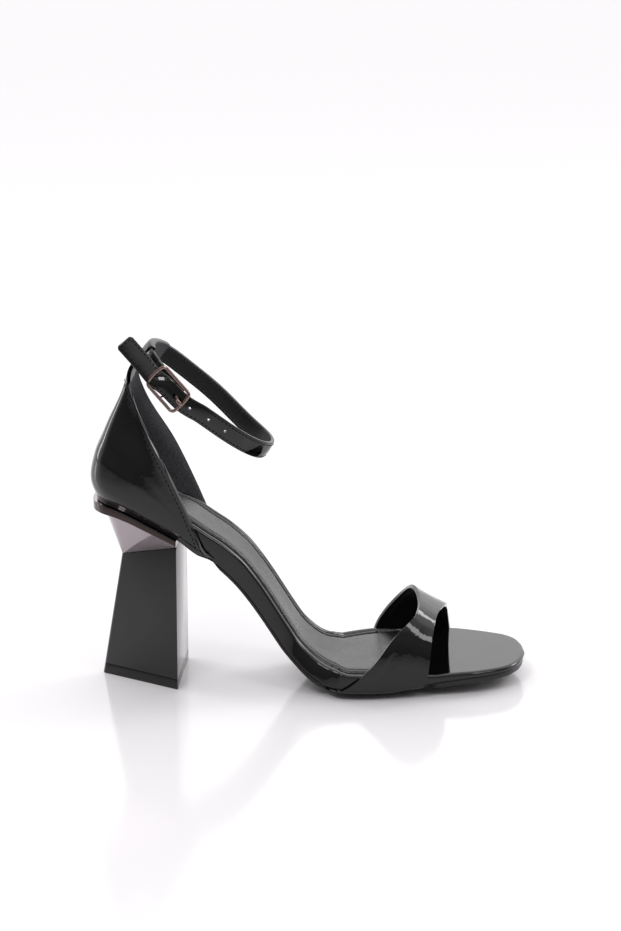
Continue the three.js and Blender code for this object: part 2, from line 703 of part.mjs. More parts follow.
function counterRib(foot, mirrored) {
  const middle = gap + counterWall / 2;
  const reach = counterEnd - seatRoundStart;
  const turn = Math.max(0, foot - 1) * (Math.PI / 2);
  const straight = new THREE.Vector2(counterEnd - Math.min(foot, 1) * reach, 0);
  const placeAt = (out) => {
    if (foot <= 1) {
      return new THREE.Vector2(straight.x, edges(straight.x).lateral - out);
    }
    return seatOutline(turn, out);
  };
  const atOut = (out, up) => {
    const plan = placeAt(out);
    const s = Math.max(plan.x, seatBack);
    const anchor = onSole(s, 0, up);
    const shift = anchor.x - s;
    return new THREE.Vector3(plan.x + shift, plan.y * mirrored, anchor.z);
  };
  const low = lastingPly / 2;
  const foot0 = atOut(middle, lastingPly + counterWall);
  const away = new THREE.Vector2().subVectors(placeAt(1), placeAt(0));
  const top = new THREE.Vector3(
    counterEnd - counter.topX(foot) * (counterEnd - seatBack),
    -counter.topY(foot) * (seatWidth / 2) * mirrored,
    seatTop + counter.top(foot) * counterHeight,
  );
  const bulge = counterBulge * counter.bulge(foot);
  const points = [
    atOut(-lastingMargin, low),
    atOut(-lastingMargin / 2, low),
    atOut(middle - counterTurn, low + counterTurnLift),
  ];
  const levels = [0, 0.07, 0.16, 0.28, 0.42, 0.58, 0.74, 0.88, 0.97, 1];
  levels.forEach((up) => {
    const point = foot0.clone().lerp(top, up);
    point.x += away.x * bulge * swell(up);
    point.y += away.y * mirrored * bulge * swell(up);
    points.push(point);
  });
  return points;
}

function makeCounterWall() {
  const sideFeet = [0, 0.06, 0.14, 0.24, 0.36, 0.5, 0.66, 0.82];
  const backFeet = [1, 1.14, 1.28, 1.42, 1.56, 1.68, 1.77, 1.84, 1.91, 2];
  const feet = [...sideFeet, ...backFeet];
  const lateral = feet.map((foot) => counterRib(foot, 1));
  const medial = feet.slice(0, -1).reverse().map((foot) => counterRib(foot, -1));
  const grid = [...lateral, ...medial];
  const last = grid[0].length - 1;
  return sheet(thicken(grid, (i, k) => {
    if (k < 2) {
      return lastingPly;
    }
    return k === last ? counterWall * 0.55 : counterWall;
  }));
}

// Ring of the ankle strap: an ellipse in plan, falling to the front
const ringFall = { lateral: reader(RING, 'at', 'lateral'), medial: reader(RING, 'at', 'medial') };

function ringPoint(turn, out = 0) {
  const half = ringLength / 2;
  const x = ringBack + half - (half + out) * Math.cos(turn);
  const y = (ringWidth / 2 + out) * Math.sin(turn);
  const at = clamp((x - ringBack) / ringLength, 0, 1);
  const blend = smoothstep(Math.sin(turn), -0.5, 0.5);
  const fall = lerp(ringFall.lateral(at), ringFall.medial(at), blend);
  return new THREE.Vector3(x, y, seatTop + ringRise - ringDrop * fall);
}

const leanAxis = new THREE.Vector3(Math.sin(strapLean), 0, Math.cos(strapLean));

// Axes of the strap where it runs along a direction: along, up its width, and out of its face
function strapAxes(along) {
  const t = along.clone().normalize();
  const wide = leanAxis.clone().addScaledVector(t, -leanAxis.dot(t)).normalize();
  const out = new THREE.Vector3().crossVectors(wide, t).normalize();
  return { t, wide, out };
}

// The buckle lies on the outer side of the foot, steeper than the ring it closes. Its line runs
// forward and down; wide is up across the strap and out is away from the foot.
const buckleTurn = -Math.acos((ringBack + ringLength / 2 - buckleX) / (ringLength / 2));
const buckleCentre = ringPoint(buckleTurn).setZ(seatTop + buckleRise);
const buckle = strapAxes(new THREE.Vector3(
  Math.cos(buckleFall) * Math.cos(buckleYaw),
  -Math.cos(buckleFall) * Math.sin(buckleYaw),
  -Math.sin(buckleFall),
));
buckle.out.negate();

function fromBuckle(along, wide, out) {
  return buckleCentre.clone()
    .addScaledVector(buckle.t, along)
    .addScaledVector(buckle.wide, wide)
    .addScaledVector(buckle.out, out);
}

// Middle line of the strap: from under the buckle back round the heel, along the inner side, round
// the front, and out through the buckle into the free tail
function strapLine() {
  const behind = degToRad(38);
  const before = degToRad(24);
  const ringSteps = 22;
  const start = [underEnd, 0, -underNear, -underFar].map((back) => fromBuckle(back, 0, -layerSpread));
  const from = buckleTurn + behind;
  const to = buckleTurn + 2 * Math.PI - before;
  const ring = Array.from({ length: ringSteps + 1 }, (_, i) => (
    ringPoint(lerp(from, to, i / ringSteps))
  ));
  const end = [overStart, overNear, -tailNear, -tailFar, -tailLength].map((back) => fromBuckle(back, 0, 0));
  const curve = new THREE.CatmullRomCurve3([...start, ...ring, ...end], false, 'centripetal');
  curve.arcLengthDivisions = 1000;
  return curve.getSpacedPoints(64);
}

const strapPath = strapLine();

function strapSheet(path, width, ply, soft) {
  const columns = [-0.5, -0.455, 0, 0.455, 0.5];
  const rows = path.map((point, i) => {
    const before = path[Math.max(i - 1, 0)];
    const after = path[Math.min(i + 1, path.length - 1)];
    const axes = strapAxes(after.clone().sub(before));
    const wallAt = (column) => (Math.abs(column) === 0.5 ? ply * soft : ply) / 2;
    const at = (column, side) => point.clone()
      .addScaledVector(axes.wide, width * column)
      .addScaledVector(axes.out, side * wallAt(column));
    return {
      outer: columns.map((column) => at(column, 1)),
      inner: columns.map((column) => at(column, -1)),
    };
  });
  return sheet(rows);
}

// A round punch across the strap at a point of its path
function punch(point, along, diameter, stretch = 1) {
  const axes = strapAxes(along);
  const geometry = new THREE.CylinderGeometry(diameter / 2, diameter / 2, 2.2 * strapPly, 10);
  geometry.scale(stretch, 1, 1);
  geometry.applyMatrix4(new THREE.Matrix4().makeBasis(axes.t, axes.out, axes.wide));
  geometry.translate(point.x, point.y, point.z);
  return toSolid(geometry);
}

// Point of the outer layer at a distance before the buckle's bar
function strapPointAt(distance) {
  const bar = strapPath.findLastIndex((point, i) => (
    i > 0 && point.clone().sub(buckleCentre).dot(buckle.t) > 0
  ));
  let left = distance - strapPath[bar].distanceTo(buckleCentre);
  let i = bar;
  while (left > strapPath[i].distanceTo(strapPath[i - 1])) {
    left -= strapPath[i].distanceTo(strapPath[i - 1]);
    i -= 1;
  }
  const along = strapPath[i].clone().sub(strapPath[i - 1]);
  return { at: strapPath[i].clone().addScaledVector(along, -left / along.length()), along };
}

function makeStrap() {
  let solid = toSolid(strapSheet(strapPath, strapWidth, strapPly, 0.55));
  const slot = fromBuckle(prongHole, 0, 0);
  solid = solid.subtract(punch(slot, buckle.t, prongWire + prongHoleRoom, prongHoleStretch));
  for (let hole = 1; hole <= holeCount; hole += 1) {
    const point = strapPointAt(hole * holePitch);
    solid = solid.subtract(punch(point.at, point.along, holeDiameter));
  }
  return toGeometry(solid);
}

// Sleeve at the counter's peak, through which the strap runs
function makeCounter() {
  const middle = [];
  const clear = [];
  const half = loopLength / 2;
  const reach = half / (ringWidth / 2);
  [-1, -0.66, -0.33, 0, 0.33, 0.66, 1].forEach((step) => middle.push(ringPoint(step * reach)));
  [-1.5, -1, -0.66, -0.33, 0, 0.33, 0.66, 1, 1.5].forEach((step) => clear.push(ringPoint(step * reach)));
  const sleeve = strapSheet(middle, strapWidth + 2 * (gap + loopWall), strapPly + 2 * (gap + loopWall), 0.8);
  const inside = strapSheet(clear, strapWidth + 2 * gap, strapPly + 2 * gap, 1);
  const wall = toSolid(makeCounterWall());
  return toGeometry(wall.add(toSolid(sleeve)).subtract(toSolid(inside)));
}

// Broad band over the toes, its ends turned in under the board
const band = Object.fromEntries(
  ['across', 'up', 'rear', 'front'].map((column) => [
    column,
    reader(BAND.map((row, i) => ({ ...row, line: i })), 'line', column),
  ]),
);

function bandLine(s, line) {
  const edge = edges(s);
  const out = gap + bandWall / 2;
  const middle = (edge.lateral + edge.medial) / 2;
  const half = (edge.medial - edge.lateral) / 2 + out;
  const ahead = (share(s) - band.rear(6)) / (band.front(6) - band.rear(6));
  const rise = bandRise - bandFall * clamp(ahead, -0.5, 1.2);
  return onSole(s, middle + half * band.across(line), beadTop(s) + rise * band.up(line));
}

function bandFoot(s, side, step) {
  const edge = edges(s);
  const out = gap + bandWall / 2;
  const at = side < 0 ? edge.lateral : edge.medial;
  const foot = boardBottom(s) + soleDish * sole.dish(share(s));
  const low = foot - bandClearance - bandLastingPly / 2;
  const steps = [
    { across: -bandTuck, up: low - bandEndDrop },
    { across: -bandTuck * 0.35, up: low },
    { across: out - bandTurn, up: foot - bandTurnDrop },
    { across: out + bandFootFlare, up: foot + bandFootRise },
  ];
  return onSole(s, at + side * steps[step].across, steps[step].up);
}

// Share of the way from the edges under the board to the edges beside it, for each row of the foot
const bandSettle = [0, 0.1, 0.3, 0.55];

function makeBand() {
  const columns = [0, 0.03, 0.14, 0.28, 0.5, 0.74, 0.97, 1];
  const lines = [];
  for (let line = 0; line <= BAND.length - 1; line += 0.5) {
    lines.push(line);
  }
  const grid = [];
  const edgeRow = (side, step) => {
    const ends = BAND[side < 0 ? 0 : BAND.length - 1];
    const rearFoot = side < 0 ? bandRearLateral : bandRearMedial;
    const frontFoot = side < 0 ? bandFrontLateral : ends.front;
    const rear = lerp(rearFoot, ends.rear, bandSettle[step]);
    const front = lerp(frontFoot, ends.front, bandSettle[step]);
    return columns.map((v) => bandFoot(alongOf(lerp(rear, front, v)), side, step));
  };
  [0, 1, 2, 3].forEach((step) => grid.push(edgeRow(-1, step)));
  lines.forEach((line) => {
    const rear = band.rear(line);
    const front = band.front(line);
    grid.push(columns.map((v) => bandLine(alongOf(lerp(rear, front, v)), line)));
  });
  [3, 2, 1, 0].forEach((step) => grid.push(edgeRow(1, step)));
  const last = columns.length - 1;
  const count = grid.length;
  return sheet(thicken(grid, (i, k) => {
    const tucked = Math.min(i, count - 1 - i) < 2;
    const wall = tucked ? bandLastingPly : bandWall;
    return k === 0 || k === last ? wall * 0.5 : wall;
  }));
}

// Buckle: an oblong wire frame with a centre bar that the layers of the strap hold between them
function rod(points, diameter, sides = 8) {
  const rings = points.map((point, i) => {
    const before = points[Math.max(i - 1, 0)];
    const after = points[Math.min(i + 1, points.length - 1)];
    const t = after.clone().sub(before).normalize();
    const aside = new THREE.Vector3().crossVectors(t, buckle.out);
    if (aside.length() < 0.3) {
      aside.crossVectors(t, buckle.wide);
    }
    aside.normalize();
    const over = new THREE.Vector3().crossVectors(aside, t).normalize();
    return Array.from({ length: sides }, (_, j) => {
      const angle = (2 * Math.PI * (j + 0.5)) / sides;
      return point.clone()
        .addScaledVector(aside, (diameter / 2) * Math.cos(angle))
        .addScaledVector(over, (diameter / 2) * Math.sin(angle));
    });
  });
  return rings;
}

const frameHalfWidth = strapWidth / 2 + gap + frameRoom + wire / 2;
const overStrap = strapPly / 2 + gap + wire / 2;
const underStrap = -layerSpread / 2;

function frameLine() {
  const points = [];
  const half = buckleLength / 2 - wire / 2;
  const corner = buckleCorner;
  const dip = (along) => (
    lerp(underStrap, overStrap, smoothstep(Math.abs(along) / half, 0.15, 0.72))
  );
  const add = (along, wide) => points.push(fromBuckle(along, wide, dip(along)));
  const quarter = (sideAlong, sideWide, from, to) => {
    for (let i = 0; i <= 3; i += 1) {
      const angle = degToRad(lerp(from, to, i / 3));
      const along = half - frameBow - corner + corner * Math.cos(angle);
      const wide = frameHalfWidth - corner + corner * Math.sin(angle);
      add(sideAlong * along, sideWide * wide);
    }
  };
  quarter(1, 1, 0, 90);
  [0.45, 0, -0.45].forEach((step) => add(half * step, frameHalfWidth));
  quarter(-1, 1, 90, 0);
  add(-half, 0);
  quarter(-1, -1, 0, 90);
  [-0.45, 0, 0.45].forEach((step) => add(half * step, -frameHalfWidth));
  quarter(1, -1, 90, 0);
  add(half, 0);
  return points;
}

function closedRod(points, diameter, sides) {
  const wrapped = [points[points.length - 1], ...points, points[0]];
  const rings = rod(wrapped, diameter, sides).slice(1, -1);
  const positions = [];
  rings.forEach((ring) => ring.forEach((point) => positions.push(point.x, point.y, point.z)));
  const index = [];
  rings.forEach((ring, i) => {
    const next = (i + 1) % rings.length;
    for (let j = 0; j < sides; j += 1) {
      const k = (j + 1) % sides;
      const [a, b, c, d] = [i * sides + j, i * sides + k, next * sides + k, next * sides + j];
      index.push(a, b, c, a, c, d);
    }
  });
  return facingOut(positions, index);
}

function makeFrame() {
  const ring = toSolid(closedRod(frameLine(), wire, 8));
  const bar = toSolid(loft(rod([
    fromBuckle(0, -frameHalfWidth, underStrap),
    fromBuckle(0, frameHalfWidth, underStrap),
  ], wire)));
  return toGeometry(ring.add(bar));
}

// Tongue: from the centre bar up through its hole, its tip resting on the frame's front bar
function makeProng() {
  const low = underStrap + wire / 2 + gap + prongWire / 2;
  const high = overStrap + wire / 2 + gap + prongWire / 2;
  const line = [
    fromBuckle(prongStart, 0, low),
    fromBuckle(prongHole, 0, low + prongLift),
    fromBuckle(prongHole + prongStep, 0, high - prongEase),
    fromBuckle(buckleLength / 2 - wire / 2, 0, high),
    fromBuckle(buckleLength / 2 + prongOver, 0, high - prongTipDrop),
  ];
  return loft(rod(line, prongWire));
}

// Finishes
function finish(color, roughness, metalness) {
  return new THREE.MeshStandardMaterial({ color, roughness, metalness });
}

const pieces = [
  ['outsole', makeOutsole(), finish(0x141416, 0.55, 0)],
  ['insole_board', makeBoard(), finish(0x0b0b0c, 0.12, 0)],
  ['sock', makeSock(), finish(0x2c2c30, 0.6, 0)],
  ['heel_tip', makeTip(), finish(0x101011, 0.6, 0)],
  ['heel_block', makeBlock(), finish(0x12110f, 0.15, 0)],
  ['heel_collar', makeCollar(), finish(0x8c8388, 0.12, 1)],
  ['counter', makeCounter(), finish(0x0b0b0c, 0.12, 0)],
  ['toe_band', makeBand(), finish(0x0b0b0c, 0.12, 0)],
  ['ankle_strap', makeStrap(), finish(0x0b0b0c, 0.14, 0)],
  ['buckle_frame', makeFrame(), finish(0x8a7670, 0.2, 1)],
  ['buckle_prong', makeProng(), finish(0x8a7670, 0.2, 1)],
];

const sandal = new THREE.Group();
pieces.forEach(([name, geometry, material]) => {
  const mesh = new THREE.Mesh(geometry, material);
  mesh.name = name;
  sandal.add(mesh);
});

export default sandal;
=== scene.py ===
"""Looks of a right-foot ankle-strap sandal on a block heel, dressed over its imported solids.

Sizes are in millimetres inside the classes and are turned to metres where a mesh is made.
"""
import logging
import math
from bisect import bisect_left
from dataclasses import dataclass, field
from enum import Enum
from typing import Callable, Sequence

import bpy
import numpy as np
from mathutils import Matrix, Vector


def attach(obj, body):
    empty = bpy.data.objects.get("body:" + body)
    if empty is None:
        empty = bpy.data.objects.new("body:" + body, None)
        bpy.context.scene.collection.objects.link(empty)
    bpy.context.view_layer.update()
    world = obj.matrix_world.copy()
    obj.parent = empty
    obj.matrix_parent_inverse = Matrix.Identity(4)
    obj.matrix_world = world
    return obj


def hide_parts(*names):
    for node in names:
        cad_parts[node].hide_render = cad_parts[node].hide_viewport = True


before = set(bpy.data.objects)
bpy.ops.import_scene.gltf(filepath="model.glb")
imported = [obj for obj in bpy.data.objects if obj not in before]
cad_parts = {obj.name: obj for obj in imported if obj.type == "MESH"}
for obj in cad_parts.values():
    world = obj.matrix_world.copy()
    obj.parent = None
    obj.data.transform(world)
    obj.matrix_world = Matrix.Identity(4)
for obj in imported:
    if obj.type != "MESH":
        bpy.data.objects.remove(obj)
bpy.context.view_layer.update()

LOG = logging.getLogger("sandal")
MM = 0.001
BODY = "root"
MERGE = 0.00001
DEGENERATE = 0.000002
ANKLE = Vector((26.8, 0.0, 142.0))
BAND_FOOT_REAR = {-1: 0.522, 1: 0.650}

Height = Callable[[float, float], float]
Edge = tuple[float, float, float]
Pair = tuple[float, float]
Course = tuple[float, float, Height]


class Slot(Enum):
    """Material slots of the record; each piece is passed one."""

    TREAD = "tread"
    SOLE = "patent_sole"
    FOOTBED = "footbed"
    TOP_PIECE = "top_piece"
    LACQUER = "lacquer"
    GUNMETAL = "gunmetal"
    PATENT = "patent"
    BUCKLE = "buckle_metal"


# Mesh tools


def pick(obj: bpy.types.Object) -> None:
    """Selects one object alone and makes it active.

    Args:
        obj: The object to work on.
    """
    bpy.ops.object.select_all(action="DESELECT")
    obj.select_set(True)
    bpy.context.view_layer.objects.active = obj


def apply_all(obj: bpy.types.Object) -> None:
    """Applies every modifier of an object in order.

    Args:
        obj: The object whose modifiers are applied.
    """
    pick(obj)
    for modifier in list(obj.modifiers):
        bpy.ops.object.modifier_apply(modifier=modifier.name)


def edit_mesh(obj: bpy.types.Object, *steps: Callable[[], object]) -> None:
    """Runs steps on the whole of a piece's mesh in edit mode.

    Args:
        obj: The piece.
        steps: Mesh operators, in order.
    """
    pick(obj)
    bpy.ops.object.mode_set(mode="EDIT")
    bpy.ops.mesh.select_all(action="SELECT")
    for step in steps:
        step()
    bpy.ops.object.mode_set(mode="OBJECT")


def smooth(obj: bpy.types.Object, angle: float = 40.0) -> None:
    """Shades an object smooth up to an angle.

    Args:
        obj: The object to shade.
        angle: Sharpest angle that still looks round, in degrees.
    """
    pick(obj)
    bpy.ops.object.shade_smooth_by_angle(angle=math.radians(angle))


def dress(obj: bpy.types.Object, slot: Slot, *materials: bpy.types.Material) -> None:
    """Gives a piece its materials and its body.

    Args:
        obj: The finished piece.
        slot: Slot of the record that it belongs to; not used.
        materials: Materials in the order of the mesh's own slots.
    """
    if list(obj.data.materials) != list(materials):
        obj.data.materials.clear()
        for material in materials:
            obj.data.materials.append(material)
    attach(obj, BODY)
    LOG.info("%s: %d faces", obj.name, len(obj.data.polygons))


def surface(name: str, grid: Sequence[Sequence[Sequence[float]]]) -> bpy.types.Object:
    """Adds a grid and carries its points to a surface, keeping the grid's own map.

    Args:
        name: Name of the piece.
        grid: Points of the surface in millimetres, row by row.

    Returns:
        The new piece.
    """
    rows, columns = len(grid) - 1, len(grid[0]) - 1
    bpy.ops.object.select_all(action="DESELECT")
    bpy.ops.mesh.primitive_grid_add(
        x_subdivisions=rows, y_subdivisions=columns, size=1.0, calc_uvs=True
    )
    obj = bpy.context.object
    obj.name = name
    obj.data.name = name
    for vertex in obj.data.vertices:
        row = round((vertex.co.x + 0.5) * rows)
        column = round((vertex.co.y + 0.5) * columns)
        vertex.co = Vector(grid[row][column]) * MM
    obj.data.update()
    return obj


def close_seams(obj: bpy.types.Object) -> None:
    """Merges the doubles of a closed surface and turns its faces outward.

    Args:
        obj: The piece.
    """
    edit_mesh(
        obj,
        lambda: bpy.ops.mesh.remove_doubles(threshold=MERGE),
        lambda: bpy.ops.mesh.dissolve_degenerate(threshold=DEGENERATE),
        lambda: bpy.ops.mesh.normals_make_consistent(inside=False),
    )


def thin_where(obj: bpy.types.Object, share: Callable[[float, float], float]) -> None:
    """Notes how much of its wall a surface keeps, by the shares of its own map.

    Args:
        obj: The open surface, straight from its grid.
        share: Share of the wall for two shares from 0 to 1.
    """
    group = obj.vertex_groups.new(name="wall")
    places: dict[int, Pair] = {}
    for loop, spot in zip(obj.data.loops, obj.data.uv_layers.active.data):
        places[loop.vertex_index] = (spot.uv[0], spot.uv[1])
    for vertex, (u, v) in places.items():
        group.add([vertex], share(u, v), "REPLACE")


def even_out(points: np.ndarray, rounds: int, fixed: int) -> np.ndarray:
    """Evens out a row of points without shrinking it.

    Args:
        points: The points, one row each.
        rounds: Number of passes.
        fixed: Number of points at each end that stay, with as many again that give way slowly.

    Returns:
        The smoother row.
    """
    count = len(points)
    ends = np.minimum(np.arange(count), np.arange(count)[::-1])
    free = np.clip((ends - fixed) / max(fixed, 1), 0, 1)[:, None]

    def blur(values: np.ndarray) -> np.ndarray:
        """Draws every free point towards its neighbours, round after round."""
        out = values.copy()
        for _ in range(rounds):
            out = out + 0.5 * free * ((np.roll(out, 1, 0) + np.roll(out, -1, 0)) / 2 - out)
        return out

    once = blur(points)
    return 2 * once - blur(once)


def resample(curve: np.ndarray, count: int) -> np.ndarray:
    """Points at even distances along a curve.

    Args:
        curve: Points of the curve, one row each.
        count: Number of points wanted.

    Returns:
        The new points, one row each.
    """
    steps = np.concatenate([[0], np.cumsum(np.linalg.norm(np.diff(curve, axis=0), axis=1))])
    wanted = np.linspace(0, steps[-1], count)
    return np.stack([np.interp(wanted, steps, curve[:, k]) for k in range(curve.shape[1])], 1)


def face_away(obj: bpy.types.Object, middle: Callable[[Vector], Vector]) -> None:
    """Turns an open surface so that its faces look away from a line inside it.

    Args:
        obj: The open surface.
        middle: Nearest point inside for a point of the surface, in metres.
    """
    score = sum(p.normal.dot(p.center - middle(p.center)) * p.area for p in obj.data.polygons)
    if score < 0:
        edit_mesh(obj, bpy.ops.mesh.flip_normals)


def give_wall(
    obj: bpy.types.Object,
    wall: float,
    round_rim: float,
    face: bpy.types.Material,
    lining: bpy.types.Material,
) -> None:
    """Thickens an open surface about its middle, lines its back and rounds its rims.

    Args:
        obj: The open surface.
        wall: Thickness in millimetres.
        round_rim: Radius of the rounded rims in millimetres.
        face: Material of the outer side and of the rims.
        lining: Material of the inner side.
    """
    for material in (face, lining):
        obj.data.materials.append(material)
    solid = obj.modifiers.new("wall", "SOLIDIFY")
    solid.thickness = wall * MM
    solid.offset = 0.0
    solid.use_even_offset = True
    solid.use_quality_normals = True
    solid.material_offset = 1
    solid.vertex_group = "wall" if "wall" in obj.vertex_groups else ""
    soft = obj.modifiers.new("rims", "BEVEL")
    soft.width = round_rim * MM
    soft.segments = 4
    soft.limit_method = "ANGLE"
    soft.angle_limit = math.radians(50)
    soft.use_clamp_overlap = True
    apply_all(obj)


def node_copy(node: str, name: str) -> bpy.types.Object:
    """Copies a CAD node's mesh as a new piece with its points merged and its triangles paired.

    Args:
        node: Name of the CAD node.
        name: Name of the new piece.

    Returns:
        The new piece, which replaces the node.
    """
    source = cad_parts[node]
    obj = bpy.data.objects.new(name, source.data.copy())
    bpy.context.scene.collection.objects.link(obj)
    obj.data.name = name
    edit_mesh(
        obj,
        lambda: bpy.ops.mesh.remove_doubles(threshold=MERGE),
        lambda: bpy.ops.mesh.tris_convert_to_quads(
            face_threshold=math.radians(40), shape_threshold=math.radians(60)
        ),
    )
    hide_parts(node)
    return obj


def round_edges(obj: bpy.types.Object, radius: float, angle: float, segments: int = 3) -> None:
    """Rounds the sharp edges of a piece.

    Args:
        obj: The piece.
        radius: Radius in millimetres.
        angle: Smallest angle that counts as an edge, in degrees.
        segments: Number of faces across the round.
    """
    modifier = obj.modifiers.new("edges", "BEVEL")
    modifier.width = radius * MM
    modifier.segments = segments
    modifier.limit_method = "ANGLE"
    modifier.angle_limit = math.radians(angle)
    modifier.use_clamp_overlap = True
    apply_all(obj)


def reader(at: Sequence[float], values: Sequence[float]) -> Callable[[float], float]:
    """Makes a smooth reading of a column that never overshoots its rows.

    Args:
        at: Rising places of the rows.
        values: Values at those places.

    Returns:
        The value at any place, held flat beyond the ends.
    """
    chords = [(values[i + 1] - values[i]) / (at[i + 1] - at[i]) for i in range(len(at) - 1)]
    slopes = []
    for i in range(len(at)):
        before, after = chords[max(i - 1, 0)], chords[min(i, len(chords) - 1)]
        slopes.append(0.0 if before * after <= 0 else 2 * before * after / (before + after))

    def read(place: float) -> float:
        """Reads the column at one place."""
        x = min(max(place, at[0]), at[-1])
        i = max(0, min(bisect_left(at, x) - 1, len(at) - 2))
        step = at[i + 1] - at[i]
        t = (x - at[i]) / step
        rest = 1 - t
        ends = values[i] * rest * rest * (1 + 2 * t) + values[i + 1] * t * t * (1 + 2 * rest)
        return ends + step * t * rest * (slopes[i] * rest - slopes[i + 1] * t)

    return read


def smooth_line(stops: Sequence[Vector], fine: int = 24) -> np.ndarray:
    """Centripetal curve through points.

    Args:
        stops: Points that the curve passes.
        fine: Number of steps between two of them.

    Returns:
        Points of the curve, one row each.
    """
    p = np.array([stops[0] * 2 - stops[1], *stops, stops[-1] * 2 - stops[-2]])
    out = []
    for i in range(1, len(p) - 2):
        a, b, c, d = p[i - 1], p[i], p[i + 1], p[i + 2]
        t0 = 0.0
        t1 = t0 + np.linalg.norm(b - a) ** 0.5
        t2 = t1 + np.linalg.norm(c - b) ** 0.5
        t3 = t2 + np.linalg.norm(d - c) ** 0.5
        for k in range(fine):
            t = t1 + (t2 - t1) * k / fine
            ab = (t1 - t) / (t1 - t0) * a + (t - t0) / (t1 - t0) * b
            bc = (t2 - t) / (t2 - t1) * b + (t - t1) / (t2 - t1) * c
            cd = (t3 - t) / (t3 - t2) * c + (t - t2) / (t3 - t2) * d
            abc = (t2 - t) / (t2 - t0) * ab + (t - t0) / (t2 - t0) * bc
            bcd = (t3 - t) / (t3 - t1) * bc + (t - t1) / (t3 - t1) * cd
            out.append((t2 - t) / (t2 - t1) * abc + (t - t1) / (t2 - t1) * bcd)
    out.append(p[-2])
    return np.array(out)


def smoothstep(x: float, low: float, high: float) -> float:
    """Eases from 0 at low to 1 at high."""
    t = min(max((x - low) / (high - low), 0.0), 1.0)
    return t * t * (3 - 2 * t)


def mix(a: float, b: float, t: float) -> float:
    """Value between a and b at share t."""
    return a + (b - a) * t


@dataclass(frozen=True)
class Seam:
    """A row of stitches."""

    pitch: float = 2.1
    length: float = 1.5
    width: float = 0.5
    height: float = 0.3
    lift: float = 0.06

    def build(self, name: str, points: Sequence[Vector], ups: Sequence[Vector]) -> bpy.types.Object:
        """Lays stitches along a path.

        Args:
            name: Name of the piece.
            points: Path on the surface, in millimetres.
            ups: Direction away from the surface at each point.

        Returns:
            One piece that holds all the stitches.
        """
        bpy.ops.object.select_all(action="DESELECT")
        bpy.ops.mesh.primitive_uv_sphere_add(segments=8, ring_count=6, radius=0.5)
        obj = bpy.context.object
        obj.name = name
        obj.data.name = name
        shape = np.array([v.co for v in obj.data.vertices])
        shape[:, 0] = np.sign(shape[:, 0]) * np.abs(2 * shape[:, 0]) ** 0.7 / 2
        faces = [tuple(p.vertices) for p in obj.data.polygons]
        steps = [0.0]
        for i in range(1, len(points)):
            steps.append(steps[-1] + (points[i] - points[i - 1]).length)
        count = max(2, int(steps[-1] / self.pitch))
        every: list[np.ndarray] = []
        all_faces: list[tuple[int, ...]] = []
        for k in range(count):
            at = (k + 0.5) * steps[-1] / count
            i = min(max(int(np.searchsorted(steps, at)) - 1, 0), len(points) - 2)
            t = (at - steps[i]) / max(steps[i + 1] - steps[i], 1e-9)
            centre = points[i].lerp(points[i + 1], t)
            along = (points[i + 1] - points[i]).normalized()
            up = ups[i].lerp(ups[i + 1], t)
            up = (up - along * up.dot(along)).normalized()
            side = up.cross(along)
            base = np.array([along * self.length, side * self.width, up * self.height])
            centre = centre + up * self.lift
            every.append(shape @ base + np.array(centre))
            first = k * len(shape)
            all_faces.extend(tuple(v + first for v in f) for f in faces)
        obj.data.clear_geometry()
        obj.data.from_pydata((np.concatenate(every) * MM).tolist(), [], all_faces)
        obj.data.update()
        pick(obj)
        bpy.ops.object.shade_smooth()
        return obj


# Node groups shared by the finishes


def add_node(
    tree: bpy.types.NodeTree,
    kind: str,
    inputs: dict[str | int, object],
    **settings: object,
) -> bpy.types.Node:
    """Adds a shader node and fills or links its inputs.

    Args:
        tree: The tree that it joins.
        kind: Type of the node, without its prefix.
        inputs: For each input, by name or number, a value or the socket that feeds it.
        settings: The node's own settings, made before its inputs.

    Returns:
        The new node.
    """
    node = tree.nodes.new(f"ShaderNode{kind}")
    for name, value in settings.items():
        setattr(node, name, value)
    for key, value in inputs.items():
        if isinstance(value, bpy.types.NodeSocket):
            tree.links.new(value, node.inputs[key])
        else:
            node.inputs[key].default_value = value
    return node


